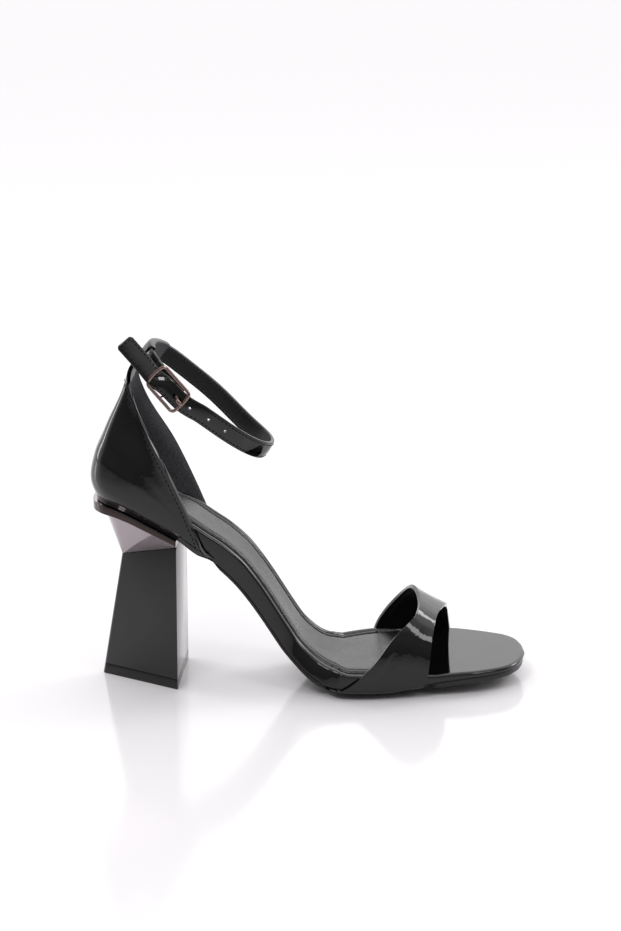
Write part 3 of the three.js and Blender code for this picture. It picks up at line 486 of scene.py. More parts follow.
@dataclass
class Group:
    """A shader group with number inputs and outputs, read by Object coordinates."""

    name: str
    inputs: dict[str, float]
    outputs: tuple[str, ...]

    def __post_init__(self) -> None:
        """Makes the tree with its two end nodes and its coordinates."""
        self.tree = bpy.data.node_groups.new(self.name, "ShaderNodeTree")
        for label, value in self.inputs.items():
            socket = self.tree.interface.new_socket(
                label, in_out="INPUT", socket_type="NodeSocketFloat"
            )
            socket.default_value = value
        for label in self.outputs:
            self.tree.interface.new_socket(label, in_out="OUTPUT", socket_type="NodeSocketFloat")
        self.start = self.tree.nodes.new("NodeGroupInput").outputs
        self.end = self.tree.nodes.new("NodeGroupOutput").inputs
        self.place = add_node(self.tree, "TexCoord", {}).outputs["Object"]

    def noise(self, scale: object, detail: float) -> bpy.types.NodeSocket:
        """Adds noise of a scale, given as a value or a socket."""
        inputs = {"Vector": self.place, "Scale": scale, "Detail": detail}
        return add_node(self.tree, "TexNoise", inputs).outputs["Fac"]

    def calc(self, operation: str, *values: object) -> bpy.types.NodeSocket:
        """Adds one arithmetic step on values or sockets."""
        node = add_node(self.tree, "Math", dict(enumerate(values)), operation=operation)
        return node.outputs[0]

    def remap(self, value: object, low: float, high: float, **ends: object) -> bpy.types.NodeSocket:
        """Adds a straight ramp between two values."""
        inputs = {"Value": value, "From Min": low, "From Max": high}
        inputs |= {f"To {end.title()}": share for end, share in ends.items()}
        return add_node(self.tree, "MapRange", inputs).outputs["Result"]

    def finish(self, **results: bpy.types.NodeSocket) -> bpy.types.NodeTree:
        """Links the results to the group's outputs and gives its tree."""
        for label, socket in results.items():
            self.tree.links.new(socket, self.end[label])
        return self.tree


def make_ripple_group() -> bpy.types.NodeTree:
    """Slow unevenness that bends the reflections in lacquered leather."""
    group = Group("film_ripple", {"Scale": 60.0, "Fine": 0.25}, ("Height",))
    broad = group.noise(group.start["Scale"], 1.0)
    fine = group.noise(group.calc("MULTIPLY", group.start["Scale"], 4.3), 2.0)
    return group.finish(Height=group.calc("MULTIPLY_ADD", fine, group.start["Fine"], broad))


def make_grain_group() -> bpy.types.NodeTree:
    """Pores and creases of leather, as a height and as a mask of its valleys, by which the finishes
    paint shade into the creases.
    """
    group = Group("leather_grain", {"Scale": 900.0, "Crease": 0.5}, ("Height", "Valley"))
    inputs = {"Vector": group.place, "Scale": group.start["Scale"]}
    cells = add_node(group.tree, "TexVoronoi", inputs, feature="DISTANCE_TO_EDGE")
    pores = group.noise(group.start["Scale"], 4.0)
    ridge = group.remap(cells.outputs["Distance"], 0.0, 0.22)
    return group.finish(
        Height=group.calc("MULTIPLY_ADD", ridge, group.start["Crease"], pores),
        Valley=group.calc("SUBTRACT", 1.0, ridge),
    )


def make_haze_group() -> bpy.types.NodeTree:
    """Faint smears of handling and specks of dust, as a roughness."""
    inputs = {"Low": 0.05, "High": 0.12, "Scale": 40.0, "Dust": 0.1}
    group = Group("handling_haze", inputs, ("Roughness",))
    smear = group.noise(group.start["Scale"], 3.0)
    base = group.remap(smear, 0.35, 0.68, min=group.start["Low"], max=group.start["High"])
    specks = group.remap(group.noise(1500.0, 1.0), 0.74, 0.80)
    return group.finish(Roughness=group.calc("MULTIPLY_ADD", specks, group.start["Dust"], base))


@dataclass(frozen=True)
class Effects:
    """The shared shader groups."""

    ripple: bpy.types.NodeTree
    grain: bpy.types.NodeTree
    haze: bpy.types.NodeTree


@dataclass(frozen=True)
class Finish:
    """One surface finish, from which a material is made."""

    name: str
    color: tuple[float, float, float]
    # Darker colour painted into the grain's valleys as shade in its creases.
    deep: tuple[float, float, float]
    rough: Pair
    metallic: float = 0.0
    ior: float = 1.5
    ripple: float = 0.0
    ripple_scale: float = 60.0
    grain: float = 0.0
    grain_scale: float = 900.0
    crease: float = 0.5
    dust: float = 0.05
    specular: float = 0.5

    def build(self, effects: Effects) -> bpy.types.Material:
        """Makes the material.

        Args:
            effects: The shared shader groups.

        Returns:
            The new material.
        """
        material = bpy.data.materials.new(self.name)
        material.use_nodes = True
        tree = material.node_tree
        shader = tree.nodes["Principled BSDF"].inputs
        shader["Metallic"].default_value = self.metallic
        shader["IOR"].default_value = self.ior
        shader["Specular IOR Level"].default_value = self.specular
        low, high = self.rough
        haze = {"Low": low, "High": high, "Dust": self.dust}
        rough = add_node(tree, "Group", haze, node_tree=effects.haze)
        pores = {"Scale": self.grain_scale, "Crease": self.crease}
        grain = add_node(tree, "Group", pores, node_tree=effects.grain)
        # Painted shade: the base colour darkens towards deep in the grain's valleys, also on finishes
        # without grain relief.
        colors = {"A": (*self.color, 1), "B": (*self.deep, 1), "Factor": grain.outputs["Valley"]}
        tint = add_node(tree, "Mix", colors, data_type="RGBA")
        tree.links.new(rough.outputs["Roughness"], shader["Roughness"])
        tree.links.new(tint.outputs["Result"], shader["Base Color"])
        reliefs = []
        if self.ripple > 0:
            wave = add_node(tree, "Group", {"Scale": self.ripple_scale}, node_tree=effects.ripple)
            reliefs.append((wave, self.ripple))
        if self.grain > 0:
            reliefs.append((grain, self.grain))
        below = {}
        for relief, depth in reliefs:
            inputs = {"Strength": 1.0, "Distance": depth * MM, "Height": relief.outputs["Height"]}
            bump = add_node(tree, "Bump", inputs | below)
            below = {"Normal": bump.outputs["Normal"]}
        if below:
            tree.links.new(below["Normal"], shader["Normal"])
        return material


@dataclass(frozen=True)
class Finishes:
    """Every finish of the shoe."""

    patent: Finish = Finish(
        "patent", (0.0022, 0.0021, 0.0023), (0.0018, 0.0017, 0.0018), (0.035, 0.075),
        ripple=0.24, ripple_scale=85, grain=0.003, grain_scale=1100, dust=0.03,
    )
    patent_sole: Finish = Finish(
        "patent_sole", (0.0025, 0.0024, 0.0026), (0.002, 0.002, 0.002), (0.04, 0.08),
        ripple=0.03, ripple_scale=70, grain=0.002, grain_scale=1100, dust=0.03,
    )
    lining: Finish = Finish(
        "lining", (0.092, 0.091, 0.099), (0.042, 0.042, 0.047), (0.32, 0.46), grain=0.1,
        grain_scale=1100, dust=0.1,
    )
    strap_lining: Finish = Finish(
        "strap_lining", (0.0100, 0.0094, 0.0098), (0.0045, 0.0043, 0.0045), (0.42, 0.55), grain=0.1,
        grain_scale=1300, dust=0.1, specular=0.3,
    )
    band_lining: Finish = Finish(
        "band_lining", (0.0075, 0.0072, 0.0075), (0.004, 0.0038, 0.004), (0.45, 0.6), grain=0.08,
        grain_scale=1300, dust=0.1, specular=0.25,
    )
    footbed: Finish = Finish(
        "footbed", (0.0125, 0.012, 0.0127), (0.0065, 0.0063, 0.0065), (0.24, 0.34), grain=0.06,
        grain_scale=1250, ripple=0.07, ripple_scale=130, dust=0.06,
    )
    lacquer: Finish = Finish(
        "lacquer", (0.0042, 0.0034, 0.0036), (0.004, 0.0033, 0.0034), (0.04, 0.08),
        ripple=0.012, ripple_scale=45, dust=0.03,
    )
    gunmetal: Finish = Finish(
        "gunmetal", (0.300, 0.262, 0.278), (0.29, 0.25, 0.268), (0.06, 0.12), metallic=1.0,
        ripple=0.01, ripple_scale=60, dust=0.05,
    )
    # Painted shade: a darker copy of the gunmetal, put on the collar's upright rim faces for their dark
    # reflections and the shadow gap under the counter.
    rim_metal: Finish = Finish(
        "gunmetal_rim_painted_shade", (0.055, 0.044, 0.041), (0.048, 0.038, 0.036), (0.07, 0.14), metallic=1.0,
        ripple=0.01, ripple_scale=60, dust=0.05,
    )
    buckle: Finish = Finish(
        "buckle_metal", (0.300, 0.222, 0.200), (0.20, 0.14, 0.125), (0.14, 0.24), metallic=1.0,
        ripple=0.01, ripple_scale=300, dust=0.1,
    )
    tread: Finish = Finish(
        "tread", (0.008, 0.0078, 0.0082), (0.005, 0.005, 0.005), (0.40, 0.58), grain=0.08,
        grain_scale=700, dust=0.1,
    )
    top_piece: Finish = Finish(
        "top_piece", (0.006, 0.0054, 0.0056), (0.004, 0.004, 0.004), (0.12, 0.20), grain=0.01,
        grain_scale=900, dust=0.1,
    )
    thread: Finish = Finish(
        "thread", (0.0025, 0.0025, 0.0025), (0.0018, 0.0018, 0.0018), (0.55, 0.7), grain=0.03,
        grain_scale=2600, specular=0.08,
    )
    lining_thread: Finish = Finish(
        "lining_thread", (0.030, 0.029, 0.031), (0.012, 0.012, 0.012), (0.4, 0.55), grain=0.03,
        grain_scale=2600,
    )
    footbed_thread: Finish = Finish(
        "footbed_thread", (0.020, 0.019, 0.020), (0.010, 0.010, 0.010), (0.25, 0.4), grain=0.03,
        grain_scale=2600,
    )

    def build(self, effects: Effects) -> dict[str, bpy.types.Material]:
        """Makes every material, by the name of its finish."""
        return {key: getattr(self, key).build(effects) for key in self.__dataclass_fields__}


# Forms, from the same sizes as the solids


@dataclass
class SoleForm:
    """Centreline, height line and edges of the sole."""

    length: float = 210.8
    seat_height: float = 77.0
    ball_width: float = 76.0
    seat_width: float = 42.6
    toe_swing: float = math.radians(8)
    swing_start: float = 50.0
    swing_end: float = 116.0
    toe_spring: float = 5.4
    dish: float = 2.3
    waist_ply: float = 1.2
    tread_ply: float = 2.5
    ply_start: float = 64.0
    ply_end: float = 92.0
    board_edge: float = 6.0
    bead_height: float = 2.4
    bead_width: float = 5.2
    gap: float = 0.3
    round_start: float = -2.0
    back: float = -26.3
    squareness: float = 2.6
    breast: float = 40 / 3
    toe_row: int = 25
    under_flat: float = 0.36
    # share of the length, rise, toe spring, outer edge, inner edge, edge height, rim, dish
    rows: tuple[tuple[float, ...], ...] = (
        (0.000, 1.210, 0.00, 0.280, 0.280, 0.90, 0.4, 0.0),
        (0.040, 1.197, 0.00, 0.280, 0.280, 0.90, 0.4, 0.0),
        (0.075, 1.166, 0.00, 0.280, 0.280, 0.95, 0.4, 0.0),
        (0.113, 1.113, 0.00, 0.280, 0.280, 1.00, 0.4, 0.0),
        (0.150, 1.059, 0.00, 0.280, 0.280, 1.05, 0.6, 0.0),
        (0.188, 1.000, 0.00, 0.280, 0.280, 1.10, 0.9, 0.0),
        (0.225, 0.921, 0.00, 0.279, 0.279, 1.20, 1.0, 0.0),
        (0.263, 0.843, 0.00, 0.276, 0.277, 1.26, 1.0, 0.1),
        (0.298, 0.756, 0.00, 0.271, 0.277, 1.25, 1.0, 0.2),
        (0.324, 0.682, 0.00, 0.268, 0.279, 1.13, 1.0, 0.2),
        (0.350, 0.592, 0.00, 0.267, 0.283, 1.03, 1.0, 0.2),
        (0.376, 0.491, 0.00, 0.268, 0.287, 0.95, 1.0, 0.2),
        (0.402, 0.378, 0.00, 0.275, 0.292, 0.91, 1.0, 0.3),
        (0.428, 0.271, 0.00, 0.289, 0.303, 0.91, 1.0, 0.3),
        (0.452, 0.190, 0.00, 0.316, 0.318, 0.93, 1.0, 0.4),
        (0.485, 0.099, 0.00, 0.362, 0.345, 1.01, 1.0, 0.5),
        (0.518, 0.037, 0.00, 0.404, 0.372, 1.13, 1.0, 0.6),
        (0.547, 0.008, 0.00, 0.432, 0.397, 1.05, 1.0, 0.7),
        (0.575, 0.000, 0.00, 0.447, 0.432, 0.94, 1.0, 0.7),
        (0.623, 0.000, 0.00, 0.453, 0.487, 0.92, 1.0, 0.7),
        (0.661, 0.000, 0.00, 0.449, 0.520, 0.86, 1.0, 0.75),
        (0.699, 0.000, 0.16, 0.442, 0.529, 0.80, 0.9, 0.8),
        (0.741, 0.000, 0.32, 0.434, 0.529, 0.72, 0.4, 0.85),
        (0.779, 0.000, 0.46, 0.429, 0.524, 0.66, 0.0, 0.9),
        (0.817, 0.000, 0.60, 0.421, 0.512, 0.60, 0.0, 0.95),
        (0.860, 0.000, 0.72, 0.408, 0.480, 0.50, 0.0, 1.0),
        (0.898, 0.000, 0.80, 0.376, 0.438, 0.43, 0.0, 1.0),
        (0.931, 0.000, 0.85, 0.340, 0.389, 0.40, 0.0, 1.0),
        (0.957, 0.000, 0.89, 0.288, 0.345, 0.38, 0.0, 1.0),
        (0.976, 0.000, 0.93, 0.218, 0.300, 0.38, 0.0, 0.9),
        (0.990, 0.000, 0.97, 0.125, 0.243, 0.38, 0.0, 0.8),
        (0.997, 0.000, 0.99, 0.050, 0.171, 0.38, 0.0, 0.7),
        (1.000, 0.000, 1.00, 0.000, 0.112, 0.36, 0.0, 0.6),
    )
    read: dict[str, Callable[[float], float]] = field(default_factory=dict)
    plan: list[Vector] = field(default_factory=list)

    def __post_init__(self) -> None:
        """Prepares the columns and the centreline."""
        names = ("at", "rise", "spring", "lateral", "medial", "core", "bead", "dish")
        at = [row[0] for row in self.rows]
        for i, name in enumerate(names[1:], start=1):
            self.read[name] = reader(at, [row[i] for row in self.rows])
        self.start = self.along_of(-0.05)
        self.step = 0.5
        self.plan = [Vector((self.start, 0.0, 0.0))]
        while len(self.plan) < 1.08 * self.length / self.step:
            turn = self.swing(self.start + (len(self.plan) - 0.5) * self.step)
            last = self.plan[-1]
            self.plan.append(last + Vector((math.cos(turn), math.sin(turn), 0)) * self.step)

    def toe_start(self) -> float:
        """Distance along the sole where the toe begins to round."""
        return self.along_of(self.rows[self.toe_row][0])

    def share(self, s: float) -> float:
        """Share of the sole's length at a distance along it."""
        return (s - self.back) / self.length

    def along_of(self, at: float) -> float:
        """Distance along the sole at a share of its length."""
        return self.back + at * self.length

    def swing(self, s: float) -> float:
        """Turn of the centreline towards the big-toe side."""
        return self.toe_swing * smoothstep(s, self.swing_start, self.swing_end)

    def centre(self, s: float) -> Vector:
        """Point of the centreline in plan."""
        steps = (s - self.start) / self.step
        i = min(max(int(steps), 0), len(self.plan) - 2)
        return self.plan[i].lerp(self.plan[i + 1], steps - i)

    def bottom(self, s: float) -> float:
        """Height of the underside at its middle."""
        at = self.share(s)
        return self.seat_height * self.read["rise"](at) + self.toe_spring * self.read["spring"](at)

    def on(self, s: float, across: float, up: float) -> Vector:
        """Point of the sole.

        Args:
            s: Distance along the centreline.
            across: Distance to the big-toe side.
            up: Distance up from the underside, square to it.

        Returns:
            The point in millimetres.
        """
        centre, turn = self.centre(s), self.swing(s)
        pitch = math.atan2(self.bottom(s + 1) - self.bottom(s - 1), 2)
        lift = -math.sin(pitch) * up
        return Vector((
            centre.x - math.sin(turn) * across + math.cos(turn) * lift,
            centre.y + math.cos(turn) * across + math.sin(turn) * lift,
            self.bottom(s) + math.cos(pitch) * up,
        ))

    def up_at(self, s: float) -> Vector:
        """Direction away from the underside."""
        return (self.on(s, 0, 1) - self.on(s, 0, 0)).normalized()

    def round_share(self, s: float) -> float:
        """Share of the seat's half width where it rounds to its back."""
        back = min(max((self.round_start - s) / (self.round_start - self.back), 0), 1)
        return (1 - back ** self.squareness) ** (1 / self.squareness)

    def edges(self, s: float) -> tuple[float, float]:
        """The outer and the inner edge of the board.

        Args:
            s: Distance along the centreline.

        Returns:
            Both edges, measured across from the centreline.
        """
        at = self.share(s)
        wide = self.ball_width
        if s <= self.breast:
            wide = self.seat_width / 2 / self.read["lateral"](self.share(self.breast))
        wide *= self.round_share(s)
        return -wide * self.read["lateral"](at), wide * self.read["medial"](at)

    def board_bottom(self, s: float) -> float:
        """Height of the board's underside over the tread's."""
        ply = mix(self.waist_ply, self.tread_ply, smoothstep(s, self.ply_start, self.ply_end))
        return ply + self.gap

    def board_floor(self, s: float) -> float:
        """Height of the board's top inside its rim."""
        at = self.share(s)
        return self.lasted_top(s) + self.board_edge * self.read["core"](at)

    def bead_top(self, s: float) -> float:
        """Height of the board's rim."""
        return self.board_floor(s) + self.bead_height * self.read["bead"](self.share(s))

    def seat_outline(self, turn: float, out: float) -> Vector:
        """Outline of the seat in plan on the outer side.

        Args:
            turn: 0 where the seat begins to round and a quarter turn at its back.
            out: How far the point is pushed outward.

        Returns:
            The point in millimetres, at height 0.
        """
        reach, half = self.round_start - self.back, self.seat_width / 2
        x = -math.sin(turn) ** (2 / self.squareness)
        y = max(math.cos(turn), 0.0) ** (2 / self.squareness)
        power = self.squareness - 1
        away = Vector((-((-x) ** power) / reach, -(y ** power) / half, 0)).normalized()
        return Vector((self.round_start + x * reach, -y * half, 0)) + away * out

    def outline(self, step: float = 0.8) -> list[Edge]:
        """Outline of the board, from the middle of its back round by the outer side.

        Args:
            step: Distance between two points of the sides.

        Returns:
            For each point its distance along the sole, across it, and along for its mate inside.
        """
        reach, toe = self.round_start - self.back, self.toe_start()
        turns = [math.radians(90 * (1 - i / 40)) for i in range(41)]
        power = 2 / self.squareness
        seat = [self.round_start - reach * math.sin(turn) ** power for turn in turns[:-1]]
        count = int((toe - self.round_start) / step)
        sides = seat + [mix(self.round_start, toe, i / count) for i in range(count)]
        rows = self.rows[23:]
        spots = [Vector((self.along_of(row[0]), -self.ball_width * row[3], 0)) for row in rows]
        spots += [Vector((self.along_of(row[0]), self.ball_width * row[4], 0)) for row in reversed(rows)]
        fine = 24
        curve = smooth_line(spots, fine)[2 * fine:(len(spots) - 3) * fine + 1]
        front = even_out(resample(curve, 150), 20, 5)
        front[:, 0] = np.minimum(front[:, 0], self.along_of(1))
        loop = [(s, self.edges(s)[0], s) for s in sides]
        loop += [(point[0], point[1], toe) for point in front]
        loop += [(s, self.edges(s)[1], s) for s in reversed(sides[1:])]
        return loop

    def inset(self, loop: Sequence[Edge], depth: Callable[[float, float], float]) -> list[Edge]:
        """Moves an outline inward.

        Args:
            loop: The outline.
            depth: How far to move a point, by its distance along and across the sole.

        Returns:
            The smaller outline.
        """
        flat = np.array([(s, a) for s, a, _ in loop])
        ahead = np.roll(flat, -1, 0) - np.roll(flat, 1, 0)
        inward = np.stack([-ahead[:, 1], ahead[:, 0]], 1)
        inward /= np.linalg.norm(inward, axis=1)[:, None]
        moved = [spot + away * depth(spot[0], spot[1]) for spot, away in zip(flat, inward)]
        return [(float(spot[0]), float(spot[1]), mate) for spot, (_, _, mate) in zip(moved, loop)]

    def middle(self, s: float) -> float:
        """Middle of the board across the sole."""
        return sum(self.edges(s)) / 2

    def layer(
        self,
        name: str,
        loop: Sequence[Edge],
        spine: tuple[float, float],
        courses: Sequence[Course],
    ) -> bpy.types.Object:
        """Builds a closed layer of the sole from its outline inward.

        Args:
            name: Name of the piece.
            loop: Outline of the layer.
            spine: Where the line down its middle starts and ends.
            courses: For each ring its inset, its share of the way to the middle, and its height.

        Returns:
            The new piece.
        """
        rings = [self.inset(loop, lambda _s, _a, deep=deep: deep) for deep, _, _ in courses]
        grid = []
        for k in range(len(loop) + 1):
            i = k % len(loop)
            mate = min(max(loop[i][2], spine[0]), spine[1])
            inside = (mate, self.middle(mate))
            column = []
            for ring, (_, share, height) in zip(rings, courses):
                s, a = mix(ring[i][0], inside[0], share), mix(ring[i][1], inside[1], share)
                column.append(self.on(s, a, height(s, self.side(s, a))))
            grid.append(column)
        obj = surface(name, grid)
        close_seams(obj)
        return obj

    def side(self, s: float, a: float) -> float:
        """Share of the way from the board's middle to its edge, rounded off at the toe.

        Args:
            s: Distance along the centreline.
            a: Distance across it.

        Returns:
            0 at the middle and 1 at the edge.
        """
        toe = self.toe_start()
        near = min(s, toe)
        lateral, medial = self.edges(near)
        half = max((medial - lateral) / 2, 1.0)
        across = (a - self.middle(near)) / half
        ahead = max(0.0, s - toe) / (self.along_of(1) - toe)
        return min(1.0, math.hypot(across, ahead))

    def under(self, s: float, side: float) -> float:
        """Rise of the dished underside towards its edges."""
        out = max(0.0, (side - self.under_flat) / (1 - self.under_flat))
        return self.dish * self.read["dish"](self.share(s)) * out * out

    def lasted_top(self, s: float) -> float:
        """Height of the underside of the board at its edges."""
        return self.board_bottom(s) + self.dish * self.read["dish"](self.share(s))


@dataclass
class SoleUnit:
    """Board, tread and footbed."""

    form: SoleForm
    looks: dict[str, bpy.types.Material]
    sock_end: float = 130.0
    sock_corner: float = 5.0
    seam_inset: float = 3.2
    tread_inset: float = 0.9
    counter_end: float = 29.5
    counter_margin: float = 5.0
    band_tuck: float = 3.7
    under_roll: float = 0.8
    edge_roll: float = 1.3
    roll_reach: float = 1.35
    tread_chamfer: float = 0.4
    tread_band_front: tuple[float, float] = (0.755, 0.843)
    # distance in from the edge and share of the rim's height
    rim_profile: tuple[Pair, ...] = (
        (2.4, 0.98), (2.9, 0.93), (3.4, 0.82), (3.9, 0.62), (4.3, 0.38), (4.7, 0.16), (5.2, 0.0),
    )
    # distance in from the edge, height and depth of the creases
    border_profile: tuple[Edge, ...] = (
        (0.0, 0.5, 0.0), (0.03, 1.1, 0.0), (0.2, 1.6, 0.03), (0.5, 2.0, 0.07), (0.9, 2.3, 0.12),
        (1.4, 2.5, 0.15), (1.9, 2.5, 0.15), (2.4, 2.26, 0.12), (2.8, 1.8, 0.06), (3.05, 1.2, 0.02),
        (3.2, 0.95, 0.0), (3.35, 1.2, 0.02), (3.65, 1.85, 0.03), (4.2, 2.22, 0.02), (5.0, 2.34, 0.0),
    )
    sock_middle: float = 2.15
    seam_height: float = 1.0

    def build_board(self, loop: Sequence[Edge]) -> None:
        """Builds the wrapped board with its rolled rim."""
        form = self.form

        def underside(s: float, side: float) -> float:
            """Height of the underside."""
            return form.board_bottom(s) + form.under(s, side)

        def wall(share: float) -> Height:
            """Height part of the way up the edge."""
            return lambda s, side: mix(
                underside(s, side) + self.under_roll, form.bead_top(s) - self.roll(s), share
            )

        def rim(share: float) -> Height:
            """Height part of the way up the rim's roll."""
            return lambda s, side: form.bead_top(s) - self.roll(s) * (1 - share)

        def inner(share: float) -> Height:
            """Height part of the way up the rim from the footbed's floor."""
            return lambda s, side: mix(form.board_floor(s), form.bead_top(s), share)

        shares = (1, 0.8, 0.6, 0.4, 0.22, 0.1, 0)
        courses: list[Course] = [(self.under_roll, share, underside) for share in shares]
        for degrees in (25, 50, 75):
            turn = math.radians(degrees)
            lift = self.under_roll * (1 - math.cos(turn))
            inset = self.under_roll * (1 - math.sin(turn))
            courses.append((inset, 0, lambda s, side, lift=lift: underside(s, side) + lift))
        courses += [(0, 0, wall(0)), (0, 0, wall(0.5)), (0, 0, wall(1))]
        for degrees in (15, 30, 45, 60, 75, 90):
            turn = math.radians(degrees)
            reach = self.roll_reach * self.edge_roll * (1 - math.cos(turn))
            courses.append((reach, 0, rim(math.sin(turn))))
        courses += [(inset, 0, inner(share)) for inset, share in self.rim_profile]
        flat = self.rim_profile[-1][0]
        courses += [(flat, share, inner(0)) for share in (0.08, 0.2, 0.35, 0.5, 0.65, 0.82, 1)]
        board = form.layer("board", loop, (2.0, form.toe_start()), courses)
        smooth(board, 60)
        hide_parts("insole_board")
        dress(board, Slot.SOLE, self.looks["patent_sole"])

    def roll(self, s: float) -> float:
        """Height of the rolled edge."""
        return min(self.edge_roll, (self.form.bead_top(s) - self.form.lasted_top(s)) * 0.55)

    def tucked(self, s: float, start: float, end: float) -> float:
        """Share of the turned-in margin at a distance along the sole."""
        return smoothstep(s, start - 5, start) * (1 - smoothstep(s, end, end + 5))

    def build_tread(self, loop: Sequence[Edge]) -> None:
        """Builds the tread sole, narrower where the upper is turned in over it."""
        form = self.form
        first = form.breast + form.gap
        rear = BAND_FOOT_REAR
        front = dict(zip((-1, 1), self.tread_band_front))

        def depth(s: float, a: float) -> float:
            """Distance in from the board's edge."""
            side = -1 if a < form.middle(min(s, form.along_of(0.9))) else 1
            counter = (self.counter_margin - 0.6) * self.tucked(s, form.back, self.counter_end)
            start, end = form.along_of(rear[side]), form.along_of(front[side])
            return self.tread_inset + counter + self.band_tuck * self.tucked(s, start, end)

        inner = [edge for edge in form.inset(loop, depth) if edge[0] > first + 0.4]
        lateral, medial = inner[0][1], inner[-1][1]
        breast = [(first, mix(medial, lateral, i / 12), first) for i in range(13)]
        chamfer = self.tread_chamfer
        shares = (1, 0.8, 0.6, 0.4, 0.2, 0.08, 0)
        courses: list[Course] = [(chamfer, share, form.under) for share in shares]
        courses += [
            (0.3 * chamfer, 0, lambda s, side: form.under(s, side) + 0.3 * chamfer),
            (0, 0, lambda s, side: form.under(s, side) + chamfer),
        ]
        courses += [
            (0, share, lambda s, side: form.under(s, side) + form.board_bottom(s) - form.gap)
            for share in (0, 0.15, 0.4, 0.7, 1)
        ]
        tread = form.layer("tread_sole", breast + inner, (first + 8, form.toe_start()), courses)
        smooth(tread, 50)
        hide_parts("outsole")
        dress(tread, Slot.TREAD, self.looks["tread"])

    def sock_loop(self, loop: Sequence[Edge]) -> list[Edge]:
        """Outline of the footbed inside the board's rim.

        Args:
            loop: Outline of the board.

        Returns:
            The outline, with its straight front edge under the band.
        """
        form, corner, end = self.form, self.sock_corner, self.sock_end
        inner = form.inset(loop, lambda s, a: form.bead_width + form.gap)
        start = end - corner
        half = len(inner) // 2
        outer_side = [edge for edge in inner[:half] if edge[0] < start]
        inner_side = [edge for edge in inner[half:] if edge[0] < start]
        lateral, medial = outer_side[-1][1], inner_side[0][1]
        turns = [math.radians(9 * i) for i in range(1, 11)]
        front = [
            (start + corner * math.sin(turn), lateral + corner * (1 - math.cos(turn)), end)
            for turn in turns
        ]
        across = [(end, mix(lateral + corner, medial - corner, i / 30), end) for i in range(1, 30)]
        back = [(s, medial - (a - lateral), end) for s, a, _ in reversed(front)]
        return outer_side + front + across + back + inner_side

    def build_sock(self, loop: Sequence[Edge]) -> None:
        """Builds the padded footbed with its wrinkled border and its seam."""
        form = self.form
        edge = self.sock_loop(loop)

        def pad(lift: float, crease: float = 0.0) -> Height:
            """Height over the board's floor, with the border's cross creases."""
            def height(s: float, side: float) -> float:
                swell = 0.6 + 0.4 * math.sin(s * 0.9 + 1.3)
                wave = math.sin(s * 2.3 + 2.1 * math.sin(s * 0.47)) * swell
                return form.board_floor(s) + form.gap + lift + crease * wave
            return height

        courses: list[Course] = [(0.3, share, pad(0)) for share in (1, 0.5, 0)]
        courses += [(inset, 0, pad(lift, crease)) for inset, lift, crease in self.border_profile]
        inset, crown, _ = self.border_profile[-1]
        courses += [
            (inset, share, pad(mix(crown, self.sock_middle, share)))
            for share in (0.1, 0.25, 0.45, 0.7, 1)
        ]
        sock = form.layer("footbed", edge, (2.0, self.sock_end - 16), courses)
        smooth(sock, 70)
        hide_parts("sock")
        dress(sock, Slot.FOOTBED, self.looks["footbed"])
        line = form.inset(edge, lambda s, a: self.seam_inset)
        kept = [(s, a) for s, a, _ in line if s < self.sock_end - 6]
        points = [form.on(s, a, pad(self.seam_height)(s, 0)) for s, a in kept]
        half = next(i for i in range(1, len(kept)) if kept[i][1] - kept[i - 1][1] > 8)
        stitch = Seam(pitch=2.3, length=1.7, width=0.42, height=0.34)
        parts = {"footbed_seam_outer": slice(0, half), "footbed_seam_inner": slice(half, None)}
        for name, part in parts.items():
            ups = [form.up_at(s) for s, _ in kept[part]]
            seam = stitch.build(name, points[part], ups)
            dress(seam, Slot.FOOTBED, self.looks["footbed_thread"])

    def build(self) -> None:
        """Builds all pieces of the sole."""
        loop = self.form.outline()
        self.build_board(loop)
        self.build_tread(loop)
        self.build_sock(loop)


